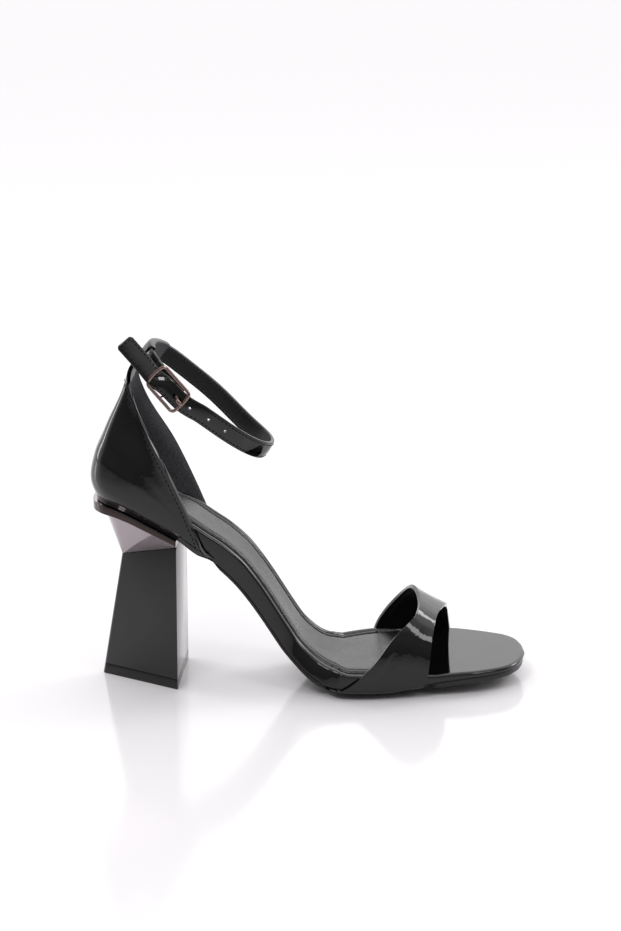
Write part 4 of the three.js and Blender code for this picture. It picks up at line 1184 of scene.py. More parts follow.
@dataclass
class HeelUnit:
    """Block, top piece and polished seat piece."""

    form: SoleForm
    looks: dict[str, bpy.types.Material]
    block_width: float = 47.0
    block_length: float = 40.0
    top_length: float = 29.6
    corner: float = 2.2
    collar_front: float = 3.4
    collar_drop: float = 10.5
    rim_front: float = 2.6
    rim_back: float = 4.2
    rim_proud: float = 1.0
    ledge_back: float = 5.5
    ledge_side: float = 0.8
    ledge_start: float = 10.0
    ledge_fall: float = 0.3
    clearance: float = 0.15
    wall: float = 2.0
    rim_tilt: float = 0.25
    front_facing: float = 0.98

    def foot(self, share: float) -> Vector:
        """Lower edge of the seat piece.

        Args:
            share: 0 at the front corner, 1 where the side ends and 2 at the middle of the back.

        Returns:
            The point in millimetres, on the outer side.
        """
        breast, half = self.form.breast, self.block_width / 2
        centre = breast - self.top_length + self.corner
        slant = math.asin(self.corner / math.hypot(breast - centre, half))
        turn = math.atan2(half, breast - centre) - slant
        reach = math.pi / 2 - turn
        angle = reach * (1 - max(share - 1, 0.0))
        round_back = Vector((centre - self.corner * math.cos(angle), -self.corner * math.sin(angle), 0))
        spot = Vector((breast, -half, 0)).lerp(round_back, min(share, 1.0))
        fall = self.collar_drop * (breast - spot.x) / self.top_length
        spot.z = self.form.seat_height - self.form.gap - self.collar_front - fall
        return spot

    def collar_column(self, share: float) -> list[Vector]:
        """Points of the seat piece from its middle below, up its side, to its middle above.

        Args:
            share: Place of the column, as for the lower edge.

        Returns:
            Six points in millimetres.
        """
        form = self.form
        out = form.gap + self.wall + self.rim_proud
        if share <= 1:
            plan = Vector((mix(form.breast, form.round_start, share), -form.seat_width / 2 - out, 0))
        else:
            plan = form.seat_outline((share - 1) * math.pi / 2, out)
        top = form.bottom(max(plan.x, form.back)) - form.gap - self.clearance
        back = min(max((form.breast - plan.x) / self.block_length, 0), 1)
        low = top - mix(self.rim_front, self.rim_back, back)
        ledge_share = smoothstep(form.breast - plan.x, self.ledge_start, self.block_length)
        inward = mix(self.ledge_side, self.ledge_back, ledge_share)
        away = Vector((plan.x - form.breast, plan.y, 0)).normalized()
        foot = self.foot(share)
        ledge = Vector((plan.x - away.x * inward, plan.y - away.y * inward, low - self.ledge_fall))
        rim_low = Vector((plan.x, plan.y, low))
        rim_high = Vector((plan.x, plan.y, top))
        return [
            Vector((foot.x, 0, foot.z)),
            foot,
            ledge,
            rim_low,
            rim_high,
            Vector((plan.x, 0, top)),
        ]

    def build_collar(self) -> None:
        """Builds the seat piece with a smooth round rim, whose upright faces are painted a darker copy
        of its metal as shade.
        """
        shares = [i / 12 for i in range(13)] + [1 + i / 40 for i in range(1, 41)]
        lateral = [self.collar_column(share) for share in shares]
        medial = [[Vector((p.x, -p.y, p.z)) for p in column] for column in reversed(lateral[:-1])]
        grid = lateral + medial + [lateral[0]]
        collar = surface("seat_piece", grid)
        close_seams(collar)
        round_edges(collar, 0.28, 24, 3)
        smooth(collar, 24)
        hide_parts("heel_collar")
        dress(collar, Slot.GUNMETAL, self.looks["gunmetal"], self.looks["rim_metal"])
        # Painted shade: upright rim faces, except those facing straight along the sole, take the darker
        # copy of the gunmetal.
        for face in collar.data.polygons:
            rim_shade_face = abs(face.normal.z) < self.rim_tilt and abs(face.normal.x) < self.front_facing
            face.material_index = 1 if rim_shade_face else 0

    def build(self) -> None:
        """Builds all pieces of the heel."""
        block = node_copy("heel_block", "block")
        round_edges(block, 0.45, 25, 4)
        smooth(block, 30)
        dress(block, Slot.LACQUER, self.looks["lacquer"])
        tip = node_copy("heel_tip", "heel_top_piece")
        round_edges(tip, 0.3, 25, 3)
        smooth(tip, 30)
        dress(tip, Slot.TOP_PIECE, self.looks["top_piece"])
        self.build_collar()


@dataclass
class Ring:
    """Line of the ankle strap."""

    length: float = 60.0
    width: float = 48.0
    back: float = -3.2
    top: float = 166.5
    drop: float = 48.8
    lean: float = math.radians(33.5)
    spread: float = 4.0
    tail: float = 32.2
    buckle_x: float = 10.9
    buckle_rise: float = 152.2
    buckle_fall: float = math.radians(43)
    buckle_yaw: float = math.radians(21)

    def __post_init__(self) -> None:
        """Prepares the fall of both sides and the buckle's axes."""
        at = (0, 0.06, 0.13, 0.21, 0.30, 0.45, 0.62, 0.80, 1)
        self.lateral = reader(at, (0, 0.085, 0.175, 0.262, 0.340, 0.482, 0.640, 0.812, 1))
        self.medial = reader(at, (0, 0.050, 0.110, 0.218, 0.320, 0.477, 0.668, 0.870, 1))
        self.buckle_turn = -math.acos((self.back + self.length / 2 - self.buckle_x) / (self.length / 2))
        self.buckle_centre = self.point(self.buckle_turn)
        self.buckle_centre.z = self.buckle_rise
        flat, yaw = math.cos(self.buckle_fall), self.buckle_yaw
        along = Vector((flat * math.cos(yaw), -flat * math.sin(yaw), -math.sin(self.buckle_fall)))
        self.t, self.wide, self.out = self.axes(along)
        self.out = -self.out

    def point(self, turn: float, out: float = 0.0) -> Vector:
        """Point of the ring's middle line.

        Args:
            turn: Turn round the ankle, 0 at the back and a quarter on the inner side.
            out: How far the point is pushed outward.

        Returns:
            The point in millimetres.
        """
        half = self.length / 2
        x = self.back + half - (half + out) * math.cos(turn)
        at = min(max((x - self.back) / self.length, 0), 1)
        blend = smoothstep(math.sin(turn), -0.5, 0.5)
        fall = mix(self.lateral(at), self.medial(at), blend)
        return Vector((x, (self.width / 2 + out) * math.sin(turn), self.top - self.drop * fall))

    def axes(self, along: Vector) -> tuple[Vector, Vector, Vector]:
        """Axes of the strap.

        Args:
            along: Direction of the strap.

        Returns:
            Unit lengths along the strap, up its width and out of its face.
        """
        lean = Vector((math.sin(self.lean), 0, math.cos(self.lean)))
        t = along.normalized()
        wide = (lean - t * lean.dot(t)).normalized()
        return t, wide, wide.cross(t).normalized()

    def at_buckle(self, along: float, wide: float, out: float) -> Vector:
        """Point by the buckle's own axes."""
        return self.buckle_centre + self.t * along + self.wide * wide + self.out * out

    def line(self, count: int) -> np.ndarray:
        """Middle line of the whole strap, from under the buckle round to the tail's end.

        Args:
            count: Number of points wanted.

        Returns:
            Points at even distances, in millimetres, one row each.
        """
        stops = [self.at_buckle(back, 0, -self.spread) for back in (5, 0, -6, -11)]
        low = self.buckle_turn + math.radians(38)
        high = self.buckle_turn + 2 * math.pi - math.radians(24)
        stops += [self.point(mix(low, high, i / 22)) for i in range(23)]
        stops += [self.at_buckle(back, 0, 0) for back in (8.5, 3, -4, -14, -self.tail)]
        return even_out(resample(smooth_line(stops), count), 260, 16)


@dataclass
class CounterUpper:
    """Closed back upper with its lining, seams and the sleeve at its peak."""

    form: SoleForm
    strap: "AnkleStrap"
    looks: dict[str, bpy.types.Material]
    wall: float = 2.0
    end: float = 29.5
    height: float = 66.3
    bulge: float = 6.0
    margin: float = 5.0
    ply: float = 1.0
    loop_start: float = math.radians(-15)
    loop_end: float = math.radians(38)
    loop_wall: float = 0.8
    loop_corner: float = 0.9
    loop_clearance: float = 0.12
    seam_inset: float = 2.3

    def __post_init__(self) -> None:
        """Prepares the topline and the swell."""
        foot = (
            0, 0.07, 0.16, 0.28, 0.46, 0.68, 0.90, 1.16, 1.38, 1.56, 1.70, 1.80, 1.88, 2.0,
        )
        top_x = (
            0.045, 0.077, 0.104, 0.147, 0.215, 0.341, 0.433,
            0.534, 0.622, 0.682, 0.709, 0.694, 0.650, 0.650,
        )
        top_y = (
            1.105, 1.125, 1.150, 1.165, 1.165, 1.145, 1.085,
            0.950, 0.805, 0.725, 0.610, 0.420, 0.345, 0.0,
        )
        top = (
            -0.353, -0.312, -0.237, -0.124, 0.020, 0.255, 0.405,
            0.555, 0.707, 0.855, 0.963, 1.0, 1.044, 1.060,
        )
        bulge = (
            0, 0.02, 0.06, 0.12, 0.18, 0.25, 0.34, 0.48, 0.66, 0.82, 0.92, 0.97, 0.99, 1.0,
        )
        self.top_x, self.top_y = reader(foot, top_x), reader(foot, top_y)
        self.top, self.bulge_at = reader(foot, top), reader(foot, bulge)
        self.swell = reader(
            (0, 0.06, 0.13, 0.22, 0.32, 0.44, 0.56, 0.68, 0.80, 0.90, 1),
            (0, 0.45, 0.80, 0.97, 1.0, 0.82, 0.64, 0.38, 0.14, 0.03, 0),
        )

    def wall_at(self, foot: float) -> float:
        """Thickness of the wall, skived towards its front corner."""
        return self.wall * mix(0.5, 1.0, smoothstep(foot, 0.0, 0.3))

    def rib(self, foot: float, up: float) -> Vector:
        """Middle of the wall on the outer side.

        Args:
            foot: 0 at the front corner, 1 where the seat rounds and 2 at the middle of the back.
            up: Share of the rib's height, and below 0 the margin turned in under the board.

        Returns:
            The point in millimetres.
        """
        form = self.form
        middle = form.gap + self.wall_at(foot) / 2
        turn = max(0.0, foot - 1) * math.pi / 2

        def plan(out: float) -> Vector:
            """Foot of the rib in plan, pushed outward."""
            if foot <= 1:
                x = self.end - foot * (self.end - form.round_start)
                return Vector((x, form.edges(x)[0] - out, 0))
            return form.seat_outline(turn, out)

        def at_out(out: float, lift: float) -> Vector:
            """Point of the rib's foot at a height over the underside."""
            flat = plan(out)
            s = max(flat.x, form.back)
            anchor = form.on(s, 0, lift)
            return Vector((flat.x + anchor.x - s, flat.y, anchor.z))

        flush = 1 - smoothstep(foot, 0.0, 0.22)
        low = self.ply / 2 + 1.5 * flush
        base = at_out(middle, self.ply + self.wall)
        if up < 0:
            stops = [
                base,
                at_out(middle - 0.45 - 0.5 * flush, low + 0.15),
                at_out(-self.margin / 2, low),
                at_out(-self.margin, low),
            ]
            place = min(-up, 0.999) * 3
            k = int(place)
            return stops[k].lerp(stops[k + 1], place - k)
        away = plan(1) - plan(0)
        peak = Vector((
            self.end - self.top_x(foot) * (self.end - form.back),
            -self.top_y(foot) * form.seat_width / 2,
            form.bottom(form.back) + self.top(foot) * self.height,
        ))
        point = base.lerp(peak, up)
        return point + Vector((away.x, away.y, 0)) * self.bulge * self.bulge_at(foot) * self.swell(up)

    def wall_point(self, w: float, up: float) -> Vector:
        """Middle of the wall on either side.

        Args:
            w: 0 at the outer front corner, 2 at the back and 4 at the inner front corner.
            up: Share of the rib's height.

        Returns:
            The point in millimetres.
        """
        if w <= 2:
            return self.rib(w, up)
        point = self.rib(4 - w, up)
        return Vector((point.x, -point.y, point.z))

    def normal(self, w: float, up: float) -> Vector:
        """Direction out of the wall.

        Args:
            w: Place along the wall, as for its middle.
            up: Share of the rib's height.

        Returns:
            The direction, of unit length.
        """
        e = 0.01
        along = self.wall_point(min(w + e, 4), up) - self.wall_point(max(w - e, 0), up)
        rise = self.wall_point(w, min(up + e, 1)) - self.wall_point(w, max(up - e, 0))
        out = along.cross(rise).normalized()
        outward = self.wall_point(w, up) - Vector((0, 0, self.wall_point(w, up).z))
        return out if out.dot(outward) > 0 else -out

    def build_wall(self) -> None:
        """Builds the wall, patent outside and lined inside."""
        around, steps, foot_steps = 156, 72, 12
        places = [-1 + i / foot_steps for i in range(foot_steps)]
        places += [i / (steps - foot_steps) for i in range(steps - foot_steps + 1)]
        grid = np.array(
            [[self.wall_point(4 * i / around, up) for up in places] for i in range(around + 1)]
        )
        for k in range(foot_steps, steps + 1):
            grid[:, k] = even_out(grid[:, k], 30, 4)
        for i in range(around + 1):
            grid[i] = even_out(grid[i], 8, 8)

        def share(u: float, v: float) -> float:
            """Share of the wall, thinner in the margin and at the front corners."""
            foot = 4 * min(u, 1 - u)
            margin = mix(0.5, 1.0, smoothstep(v * steps, 6, foot_steps + 2))
            return min(margin, self.wall_at(foot) / self.wall)

        wall = surface("counter_wall", grid)
        thin_where(wall, share)
        face_away(wall, lambda p: Vector((0.004, 0, p.z)))
        give_wall(wall, self.wall, 0.6, self.looks["patent"], self.looks["lining"])
        smooth(wall, 45)
        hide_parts("counter")
        dress(wall, Slot.PATENT, self.looks["patent"], self.looks["lining"])

    def build_seams(self) -> None:
        """Sews a row of stitches inside the topline of both sides and round the peak."""
        for side, name in ((1, "counter_seam_outer"), (-1, "counter_seam_inner")):
            points, ups = [], []
            for i in range(420):
                foot = mix(0.015, 1.72, i / 419)
                w = foot if side > 0 else 4 - foot
                top, below = self.wall_point(w, 1), self.wall_point(w, 0.9)
                before, after = max(w - 0.004, 0), min(w + 0.004, 4)
                edge = (self.wall_point(after, 1) - self.wall_point(before, 1)).normalized()
                drop = top - below
                square = (drop - edge * drop.dot(edge)).length
                up = 1 - 0.1 * self.seam_inset / max(square, 0.2)
                if up < 0.05:
                    continue
                n = self.normal(w, up)
                points.append(self.wall_point(w, up) + n * (self.wall / 2))
                ups.append(n)
            seam = Seam(pitch=2.4, length=1.7).build(name, points, ups)
            dress(seam, Slot.PATENT, self.looks["thread"])

    def build_sleeve(self) -> None:
        """Builds the flat sleeve through which the strap runs, lined towards the ankle."""
        strap = self.strap
        wall = self.loop_wall
        wide = strap.width / 2 + self.loop_clearance + wall
        thick = strap.ply / 2 + self.loop_clearance + wall
        corner = self.loop_corner

        def section(grow: float) -> list[Pair]:
            """Rounded oblong that follows the strap's crown, as far out as grow says."""
            spots = []
            for cx, cy, start in ((1, 1, 0), (-1, 1, 90), (-1, -1, 180), (1, -1, 270)):
                for i in range(6):
                    turn = math.radians(start + 18 * i)
                    x = cx * (wide - corner) + (corner + grow) * math.cos(turn)
                    y = cy * (thick - corner) + (corner + grow) * math.sin(turn)
                    spots.append((x, y))
                if cx * cy > 0:
                    reach = cx * (wide - corner)
                    spots += [(reach * (1 - k / 4), cy * (thick + grow)) for k in range(1, 8)]
            crown = strap.sign * strap.crown
            return [(x, y - crown * (2 * x / strap.width) ** 2) for x, y in spots]

        outer, inner = section(0.0), section(-wall)
        columns = []
        under = range(strap.count // 2)
        first, last = (
            strap.nearest(strap.ring.point(turn), under)
            for turn in (self.loop_start, self.loop_end)
        )
        for i in range(first, last + 1):
            centre, up, out = strap.path[i], strap.axes[i][1], strap.axes[i][2]
            columns.append([
                [centre + up * x + out * y for x, y in spots + spots[:1]]
                for spots in (outer, inner)
            ])
        skins = [column[0] for column in columns] + [column[1] for column in reversed(columns)]
        sleeve = surface("strap_sleeve", skins + [columns[0][0]])
        close_seams(sleeve)
        round_edges(sleeve, 0.3, 60, 3)
        smooth(sleeve, 45)
        dress(sleeve, Slot.PATENT, self.looks["patent"], self.looks["lining"])
        for face in sleeve.data.polygons:
            towards = (ANKLE * MM - face.center).normalized()
            face.material_index = 1 if face.normal.dot(towards) > 0.5 else 0

    def build(self) -> None:
        """Builds all pieces of the counter."""
        self.build_wall()
        self.build_seams()
        self.build_sleeve()


@dataclass
class ToeBand:
    """Broad band over the toes."""

    form: SoleForm
    looks: dict[str, bpy.types.Material]
    wall: float = 2.0
    rise: float = 31.8
    fall: float = 9.0
    tuck: float = 3.0
    ply: float = 1.4
    foot_front: float = 0.738
    seam_inset: float = 2.4

    def __post_init__(self) -> None:
        """Prepares the band's lines and its two edges."""
        lines = tuple(range(12))
        self.across = reader(
            lines,
            (-1, -0.985, -0.92, -0.80, -0.60, -0.32, 0, 0.30, 0.56, 0.78, 0.93, 1),
        )
        self.up = reader(
            lines,
            (0, 0.26, 0.52, 0.73, 0.88, 0.97, 1, 0.93, 0.76, 0.52, 0.25, 0),
        )
        self.rear = reader(
            lines,
            (0.600, 0.640, 0.690, 0.733, 0.752, 0.759, 0.760, 0.754, 0.744, 0.726, 0.694, 0.660),
        )
        self.front = reader(
            lines,
            (0.755, 0.763, 0.771, 0.780, 0.790, 0.804, 0.819, 0.828, 0.834, 0.838, 0.841, 0.843),
        )

    def over(self, s: float, line: float) -> Vector:
        """Middle of the band over the foot.

        Args:
            s: Distance along the sole.
            line: One of the lines, 0 at the outer foot and 11 at the inner one.

        Returns:
            The point in millimetres.
        """
        form = self.form
        lateral, medial = form.edges(s)
        out = form.gap + self.wall / 2
        middle, half = (lateral + medial) / 2, (medial - lateral) / 2 + out
        ahead = (form.share(s) - self.rear(6)) / (self.front(6) - self.rear(6))
        rise = self.rise - self.fall * min(max(ahead, -0.5), 1.2)
        return form.on(s, middle + half * self.across(line), form.bead_top(s) + rise * self.up(line))

    def foot(self, s: float, side: int, step: int) -> Vector:
        """Middle of the band where it turns in under the board.

        Args:
            s: Distance along the sole.
            side: -1 on the outer side and 1 on the inner one.
            step: 0 at the turned-in margin's end, up to 3 above the board's lower edge.

        Returns:
            The point in millimetres.
        """
        form = self.form
        edge = form.edges(s)[0 if side < 0 else 1]
        out = form.gap + self.wall / 2
        base = form.lasted_top(s)
        low = base - 1.8 * form.gap - self.ply / 2
        across, up = (
            (-self.tuck, low - 0.35),
            (-self.tuck * 0.35, low),
            (out - 0.3, base - 0.1),
            (out + 0.1, base + 1.4),
        )[step]
        return form.on(s, edge + side * across, up)

    def column(self, v: float, count: int) -> np.ndarray:
        """One line across the band, from its outer foot to its inner one.

        Args:
            v: 0 at the rear edge and 1 at the front.
            count: Number of points wanted.

        Returns:
            Points of the band's middle, one row each.
        """
        settle = (0, 0.1, 0.3, 0.55)
        foot_front = {-1: self.foot_front, 1: self.front(11)}
        stops = []
        for side, line in ((-1, 0), (1, 11)):
            row = []
            for step in range(4):
                rear = mix(BAND_FOOT_REAR[side], self.rear(line), settle[step])
                front = mix(foot_front[side], self.front(line), settle[step])
                row.append(self.foot(self.form.along_of(mix(rear, front, v)), side, step))
            if side < 0:
                stops += row
                places = [mix(self.rear(k), self.front(k), v) for k in range(12)]
                stops += [self.over(self.form.along_of(at), k) for k, at in enumerate(places)]
            else:
                stops += reversed(row)
        return even_out(resample(smooth_line(stops), count), 140, 12)

    def build(self) -> None:
        """Builds the band, its lining and its seams."""
        across, steps = 181, 31
        grid = np.stack([self.column(k / (steps - 1), across) for k in range(steps)], 1)
        band = surface("toe_band_wall", grid)
        thin_where(band, lambda u, v: mix(0.6, 1.0, smoothstep(min(u, 1 - u) * across, 5, 13)))
        face_away(band, lambda p: Vector((p.x, 0.004, 0.010)))
        give_wall(band, self.wall, 0.62, self.looks["patent"], self.looks["band_lining"])
        smooth(band, 45)
        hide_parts("toe_band")
        dress(band, Slot.PATENT, self.looks["patent"], self.looks["band_lining"])
        rows = np.gradient(grid, axis=0)
        columns = np.gradient(grid, axis=1)
        normals = np.cross(rows, columns)
        normals /= np.linalg.norm(normals, axis=2)[:, :, None]
        top = grid[across // 2, steps // 2]
        if np.dot(normals[across // 2, steps // 2], top - np.array([top[0], 4.0, 8.0])) < 0:
            normals = -normals
        for edge, step, name in ((0, 1, "band_seam_rear"), (steps - 1, -1, "band_seam_front")):
            points, ups = [], []
            for i in range(24, across - 24):
                k = edge
                walked = 0.0
                while walked < self.seam_inset and 0 <= k + step < steps:
                    walked += float(np.linalg.norm(grid[i, k + step] - grid[i, k]))
                    k += step
                inward = -Vector(normals[i, k])
                points.append(Vector(grid[i, k]) + inward * (self.wall / 2))
                ups.append(inward)
            smoothed = even_out(np.array(points), 20, 3)
            seam = Seam(pitch=2.3, length=1.6).build(name, [Vector(p) for p in smoothed], ups)
            dress(seam, Slot.PATENT, self.looks["lining_thread"])


@dataclass
class AnkleStrap:
    """Strap with its tail, seams, holes and buckle."""

    ring: Ring
    looks: dict[str, bpy.types.Material]
    width: float = 9.2
    ply: float = 2.0
    count: int = 340
    hole: float = 1.3
    first_hole: float = 14.2
    hole_pitch: float = 10.0
    hole_count: int = 3
    tongue_hole: float = 5.0
    tail_shift: float = -1.5
    buckle_shift: float = 0.4
    tail_chamfer: float = 1.4
    seam_inset: float = 1.3
    tail_turn: float = math.radians(33)
    crown: float = 0.5
    frame_half_length: float = 9.1
    frame_half_width: float = 6.4
    frame_corner: float = 1.6
    frame_lift: float = 1.9
    frame_bow: float = 0.9
    bar_wire: float = 0.55
    tongue_wide: float = 1.0
    wire_wide: float = 0.82
    wire_thick: float = 0.72
    tongue_wire: float = 0.62

    def __post_init__(self) -> None:
        """Lays the strap's line and its axes."""
        line = self.ring.line(self.count + 1)
        ahead = np.roll(line, -2, 0) - np.roll(line, 2, 0)
        ahead[:2], ahead[-2:] = line[2] - line[0], line[-1] - line[-3]
        self.axes = [self.ring.axes(Vector(step)) for step in ahead]
        self.path = [Vector(point) for point in line]
        self.step = float(np.linalg.norm(line[1] - line[0]))
        away = self.path[self.count // 2] - ANKLE
        self.sign = 1 if self.axes[self.count // 2][2].dot(away) > 0 else -1
        for i in range(self.count * 3 // 4, self.count + 1):
            along = (self.path[i] - self.ring.buckle_centre).dot(self.ring.t)
            flat = 1 - smoothstep(abs(along), 6, 20)
            aside = (self.path[i] - self.ring.buckle_centre).dot(self.ring.wide)
            self.path[i] = self.path[i] - self.ring.wide * (0.5 * aside + self.buckle_shift) * flat
            share = smoothstep(-along, 0, 11)
            t, wide, out = self.axes[i]
            self.path[i] = self.path[i] + wide * self.tail_shift * share
            easing = 1 - 0.15 * smoothstep(-along, 14, 32)
            turned = Matrix.Rotation(self.tail_turn * share * easing, 3, t)
            self.axes[i] = (t, turned @ wide, turned @ out)

    def out_at(self, i: int) -> Vector:
        """Direction out of the strap's patent face."""
        return self.axes[i][2] * self.sign

    def nearest(self, target: Vector, steps: range) -> int:
        """The one of the strap's steps that is nearest to a point."""
        return min(steps, key=lambda i: (self.path[i] - target).length)

    def build_strap(self) -> None:
        """Builds the strap with rounded edges and a chamfered tail."""
        shares = [-1, -0.8, -0.5, -0.2, 0, 0.2, 0.5, 0.8, 1]
        grid = []
        for i, point in enumerate(self.path):
            left = (self.count - i) * self.step
            room = self.width / 2 - max(0.0, self.tail_chamfer - left) * 0.8
            across, out = self.axes[i][1], self.out_at(i)
            grid.append([
                point + across * share * room - out * self.crown * share * share
                for share in shares
            ])
        strap = surface("strap", grid)
        face_away(strap, lambda p: ANKLE * MM)
        if self.strap_inside_out(strap):
            edit_mesh(strap, bpy.ops.mesh.flip_normals)
        give_wall(strap, self.ply, 0.55, self.looks["patent"], self.looks["strap_lining"])
        self.punch(strap)
        smooth(strap, 45)
        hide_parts("ankle_strap")
        dress(strap, Slot.PATENT, self.looks["patent"], self.looks["strap_lining"])

    def strap_inside_out(self, strap: bpy.types.Object) -> bool:
        """Whether the strap's faces look to the ankle.

        Args:
            strap: The strap, still one surface.

        Returns:
            True when the face at the middle of its line looks inward.
        """
        target = self.path[self.count // 2] * MM
        face = min(strap.data.polygons, key=lambda polygon: (polygon.center - target).length)
        return face.normal.dot(self.out_at(self.count // 2)) < 0

    def punch(self, strap: bpy.types.Object) -> None:
        """Punches the tongue's hole and the row of free ones.

        Args:
            strap: The strap with its wall.
        """
        over = range(self.count // 2, self.count + 1)
        bar = self.nearest(self.ring.at_buckle(0, 0, 0), over)
        places = [(self.nearest(self.ring.at_buckle(self.tongue_hole, 0, 0), over), 1.05, 1.5)]
        places += [
            (bar - round((self.first_hole + k * self.hole_pitch) / self.step), self.hole / 2, 1.0)
            for k in range(self.hole_count)
        ]
        for number, (i, radius, stretch) in enumerate(places):
            t, wide, _ = self.axes[i]
            bpy.ops.object.select_all(action="DESELECT")
            bpy.ops.mesh.primitive_cylinder_add(vertices=20, radius=radius * MM, depth=4.5 * MM)
            tool = bpy.context.object
            tool.name = f"punch_{number}"
            turn = Matrix((t * stretch, wide, t.cross(wide))).transposed().to_4x4()
            tool.data.transform(Matrix.Translation(self.path[i] * MM) @ turn)
            cut = strap.modifiers.new("hole", "BOOLEAN")
            cut.operation = "DIFFERENCE"
            cut.solver = "EXACT"
            cut.object = tool
            apply_all(strap)
            bpy.data.objects.remove(tool, do_unlink=True)

    def build_seams(self) -> None:
        """Sews a row along both edges and one across the tail's end, on the face and the lining."""
        stitch = Seam(pitch=2.1, length=1.45, width=0.55)
        end_stitch = Seam(pitch=1.9, length=1.3, width=0.55)
        edge = self.width / 2 - self.seam_inset
        last = self.count - round(1.6 / self.step)
        for face in (1, -1):
            side_name = "face" if face > 0 else "lining"
            thread = self.looks["thread" if face > 0 else "lining_thread"]
            for side, name in ((-1, "lower"), (1, "upper")):
                points, ups = [], []
                dip = self.crown * (2 * edge / self.width) ** 2 * face
                for i in range(6, last):
                    away = self.out_at(i) * face
                    aside = self.axes[i][1] * side * edge
                    points.append(self.path[i] + aside + away * (self.ply / 2 - dip))
                    ups.append(away)
                seam = stitch.build(f"strap_seam_{side_name}_{name}", points, ups)
                dress(seam, Slot.PATENT, thread)
            away = self.out_at(last) * face
            start, wide = self.path[last] + away * self.ply / 2, self.axes[last][1]
            points = [start + wide * mix(-edge, edge, k / 12) for k in range(13)]
            end = end_stitch.build(f"strap_seam_{side_name}_end", points, [away] * 13)
            dress(end, Slot.PATENT, thread)

    def wire(
        self,
        name: str,
        points: Sequence[Vector],
        half: tuple[float, float],
        closed: bool,
    ) -> bpy.types.Object:
        """Builds a wire with a softly flattened section.

        Args:
            name: Name of the piece.
            points: Middle line of the wire.
            half: Half of its width and half of its thickness.
            closed: Whether the line returns to its start.

        Returns:
            The new piece.
        """
        count = len(points)
        grid = []
        for i in range(count + (1 if closed else 0)):
            k = i % count
            before = points[(k - 1) % count] if closed else points[max(k - 1, 0)]
            after = points[(k + 1) % count] if closed else points[min(k + 1, count - 1)]
            ahead = (after - before).normalized()
            aside = ahead.cross(self.ring.out).normalized()
            over = aside.cross(ahead).normalized()
            taper = 1.0 if closed else math.sqrt(max(0.0, 1 - abs(2 * i / (count - 1) - 1) ** 14))
            ring = []
            for j in range(17):
                turn = 2 * math.pi * (j % 16) / 16
                x = math.copysign(abs(math.cos(turn)) ** 0.75, math.cos(turn)) * half[0] * taper
                y = math.copysign(abs(math.sin(turn)) ** 0.75, math.sin(turn)) * half[1] * taper
                ring.append(points[k] + aside * x + over * y)
            grid.append(ring)
        obj = surface(name, grid)
        close_seams(obj)
        smooth(obj, 60)
        return obj

    def build_buckle(self) -> None:
        """Builds the oblong frame, its centre bar and its tongue."""
        ring = self.ring
        long_half, wide_half, corner = self.frame_half_length, self.frame_half_width, self.frame_corner
        line = []
        for cx, cy, start in ((1, 1, 0), (-1, 1, 90), (-1, -1, 180), (1, -1, 270)):
            for i in range(9):
                turn = math.radians(start + 90 * i / 8)
                along = cx * (long_half - corner) + corner * math.cos(turn)
                wide = cy * (wide_half - corner) + corner * math.sin(turn)
                line.append(np.array((along, wide)))
        line.append(line[0])
        plan = resample(np.array(line), 121)[:-1]
        points = []
        for along, wide in plan:
            end_share = math.copysign(smoothstep(abs(along) / long_half, 0.6, 1), along)
            arch = self.frame_bow * (1 - (wide / wide_half) ** 2) * end_share
            points.append(ring.at_buckle(along + arch, wide, self.frame_lift))
        frame_wire = self.wire("buckle_wire", points, (self.wire_wide, self.wire_thick), True)
        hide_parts("buckle_frame")
        dress(frame_wire, Slot.BUCKLE, self.looks["buckle"])
        bar_line = []
        for share in np.linspace(-1, 1, 33):
            drop = smoothstep(1 - abs(share), 0.0, 0.2)
            out = mix(self.frame_lift - 0.2, -ring.spread / 2, drop)
            bar_line.append(ring.at_buckle(0, share * wide_half, out))
        bar = self.wire("buckle_bar", bar_line, (self.bar_wire, self.bar_wire), False)
        dress(bar, Slot.BUCKLE, self.looks["buckle"])
        over = self.frame_lift + self.wire_thick + self.tongue_wire
        stops = [
            ring.at_buckle(0.9, 0, -1.2),
            ring.at_buckle(self.tongue_hole - 1.4, 0, -0.6),
            ring.at_buckle(self.tongue_hole, 0, 0.7),
            ring.at_buckle(self.tongue_hole + 1.3, 0, 1.9),
            ring.at_buckle(long_half - 1.5, 0, over - 0.1),
            ring.at_buckle(long_half + 0.6, 0, over),
            ring.at_buckle(long_half + 1.2, 0, over - 0.15),
        ]
        curve = resample(smooth_line(stops), 50)
        half = (self.tongue_wide, self.tongue_wire)
        tongue = self.wire("buckle_tongue", [Vector(p) for p in curve], half, False)
        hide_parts("buckle_prong")
        dress(tongue, Slot.BUCKLE, self.looks["buckle"])

    def build(self) -> None:
        """Builds all pieces of the strap."""
        self.build_strap()
        self.build_seams()
        self.build_buckle()


@dataclass(frozen=True)
class Softbox:
    """One flat studio light."""

    name: str
    place: tuple[float, float, float]
    target: tuple[float, float, float]
    size: tuple[float, float]
    power: float
    color: tuple[float, float, float] = (1.0, 1.0, 1.0)

    def build(self) -> None:
        """Adds the light."""
        data = bpy.data.lights.new(self.name, "AREA")
        data.shape = "RECTANGLE"
        data.size, data.size_y = self.size
        data.energy = self.power
        data.color = self.color
        light = bpy.data.objects.new(self.name, data)
        light.location = self.place
        ahead = Vector(self.target) - Vector(self.place)
        light.rotation_euler = ahead.to_track_quat("-Z", "Y").to_euler()
        bpy.context.scene.collection.objects.link(light)


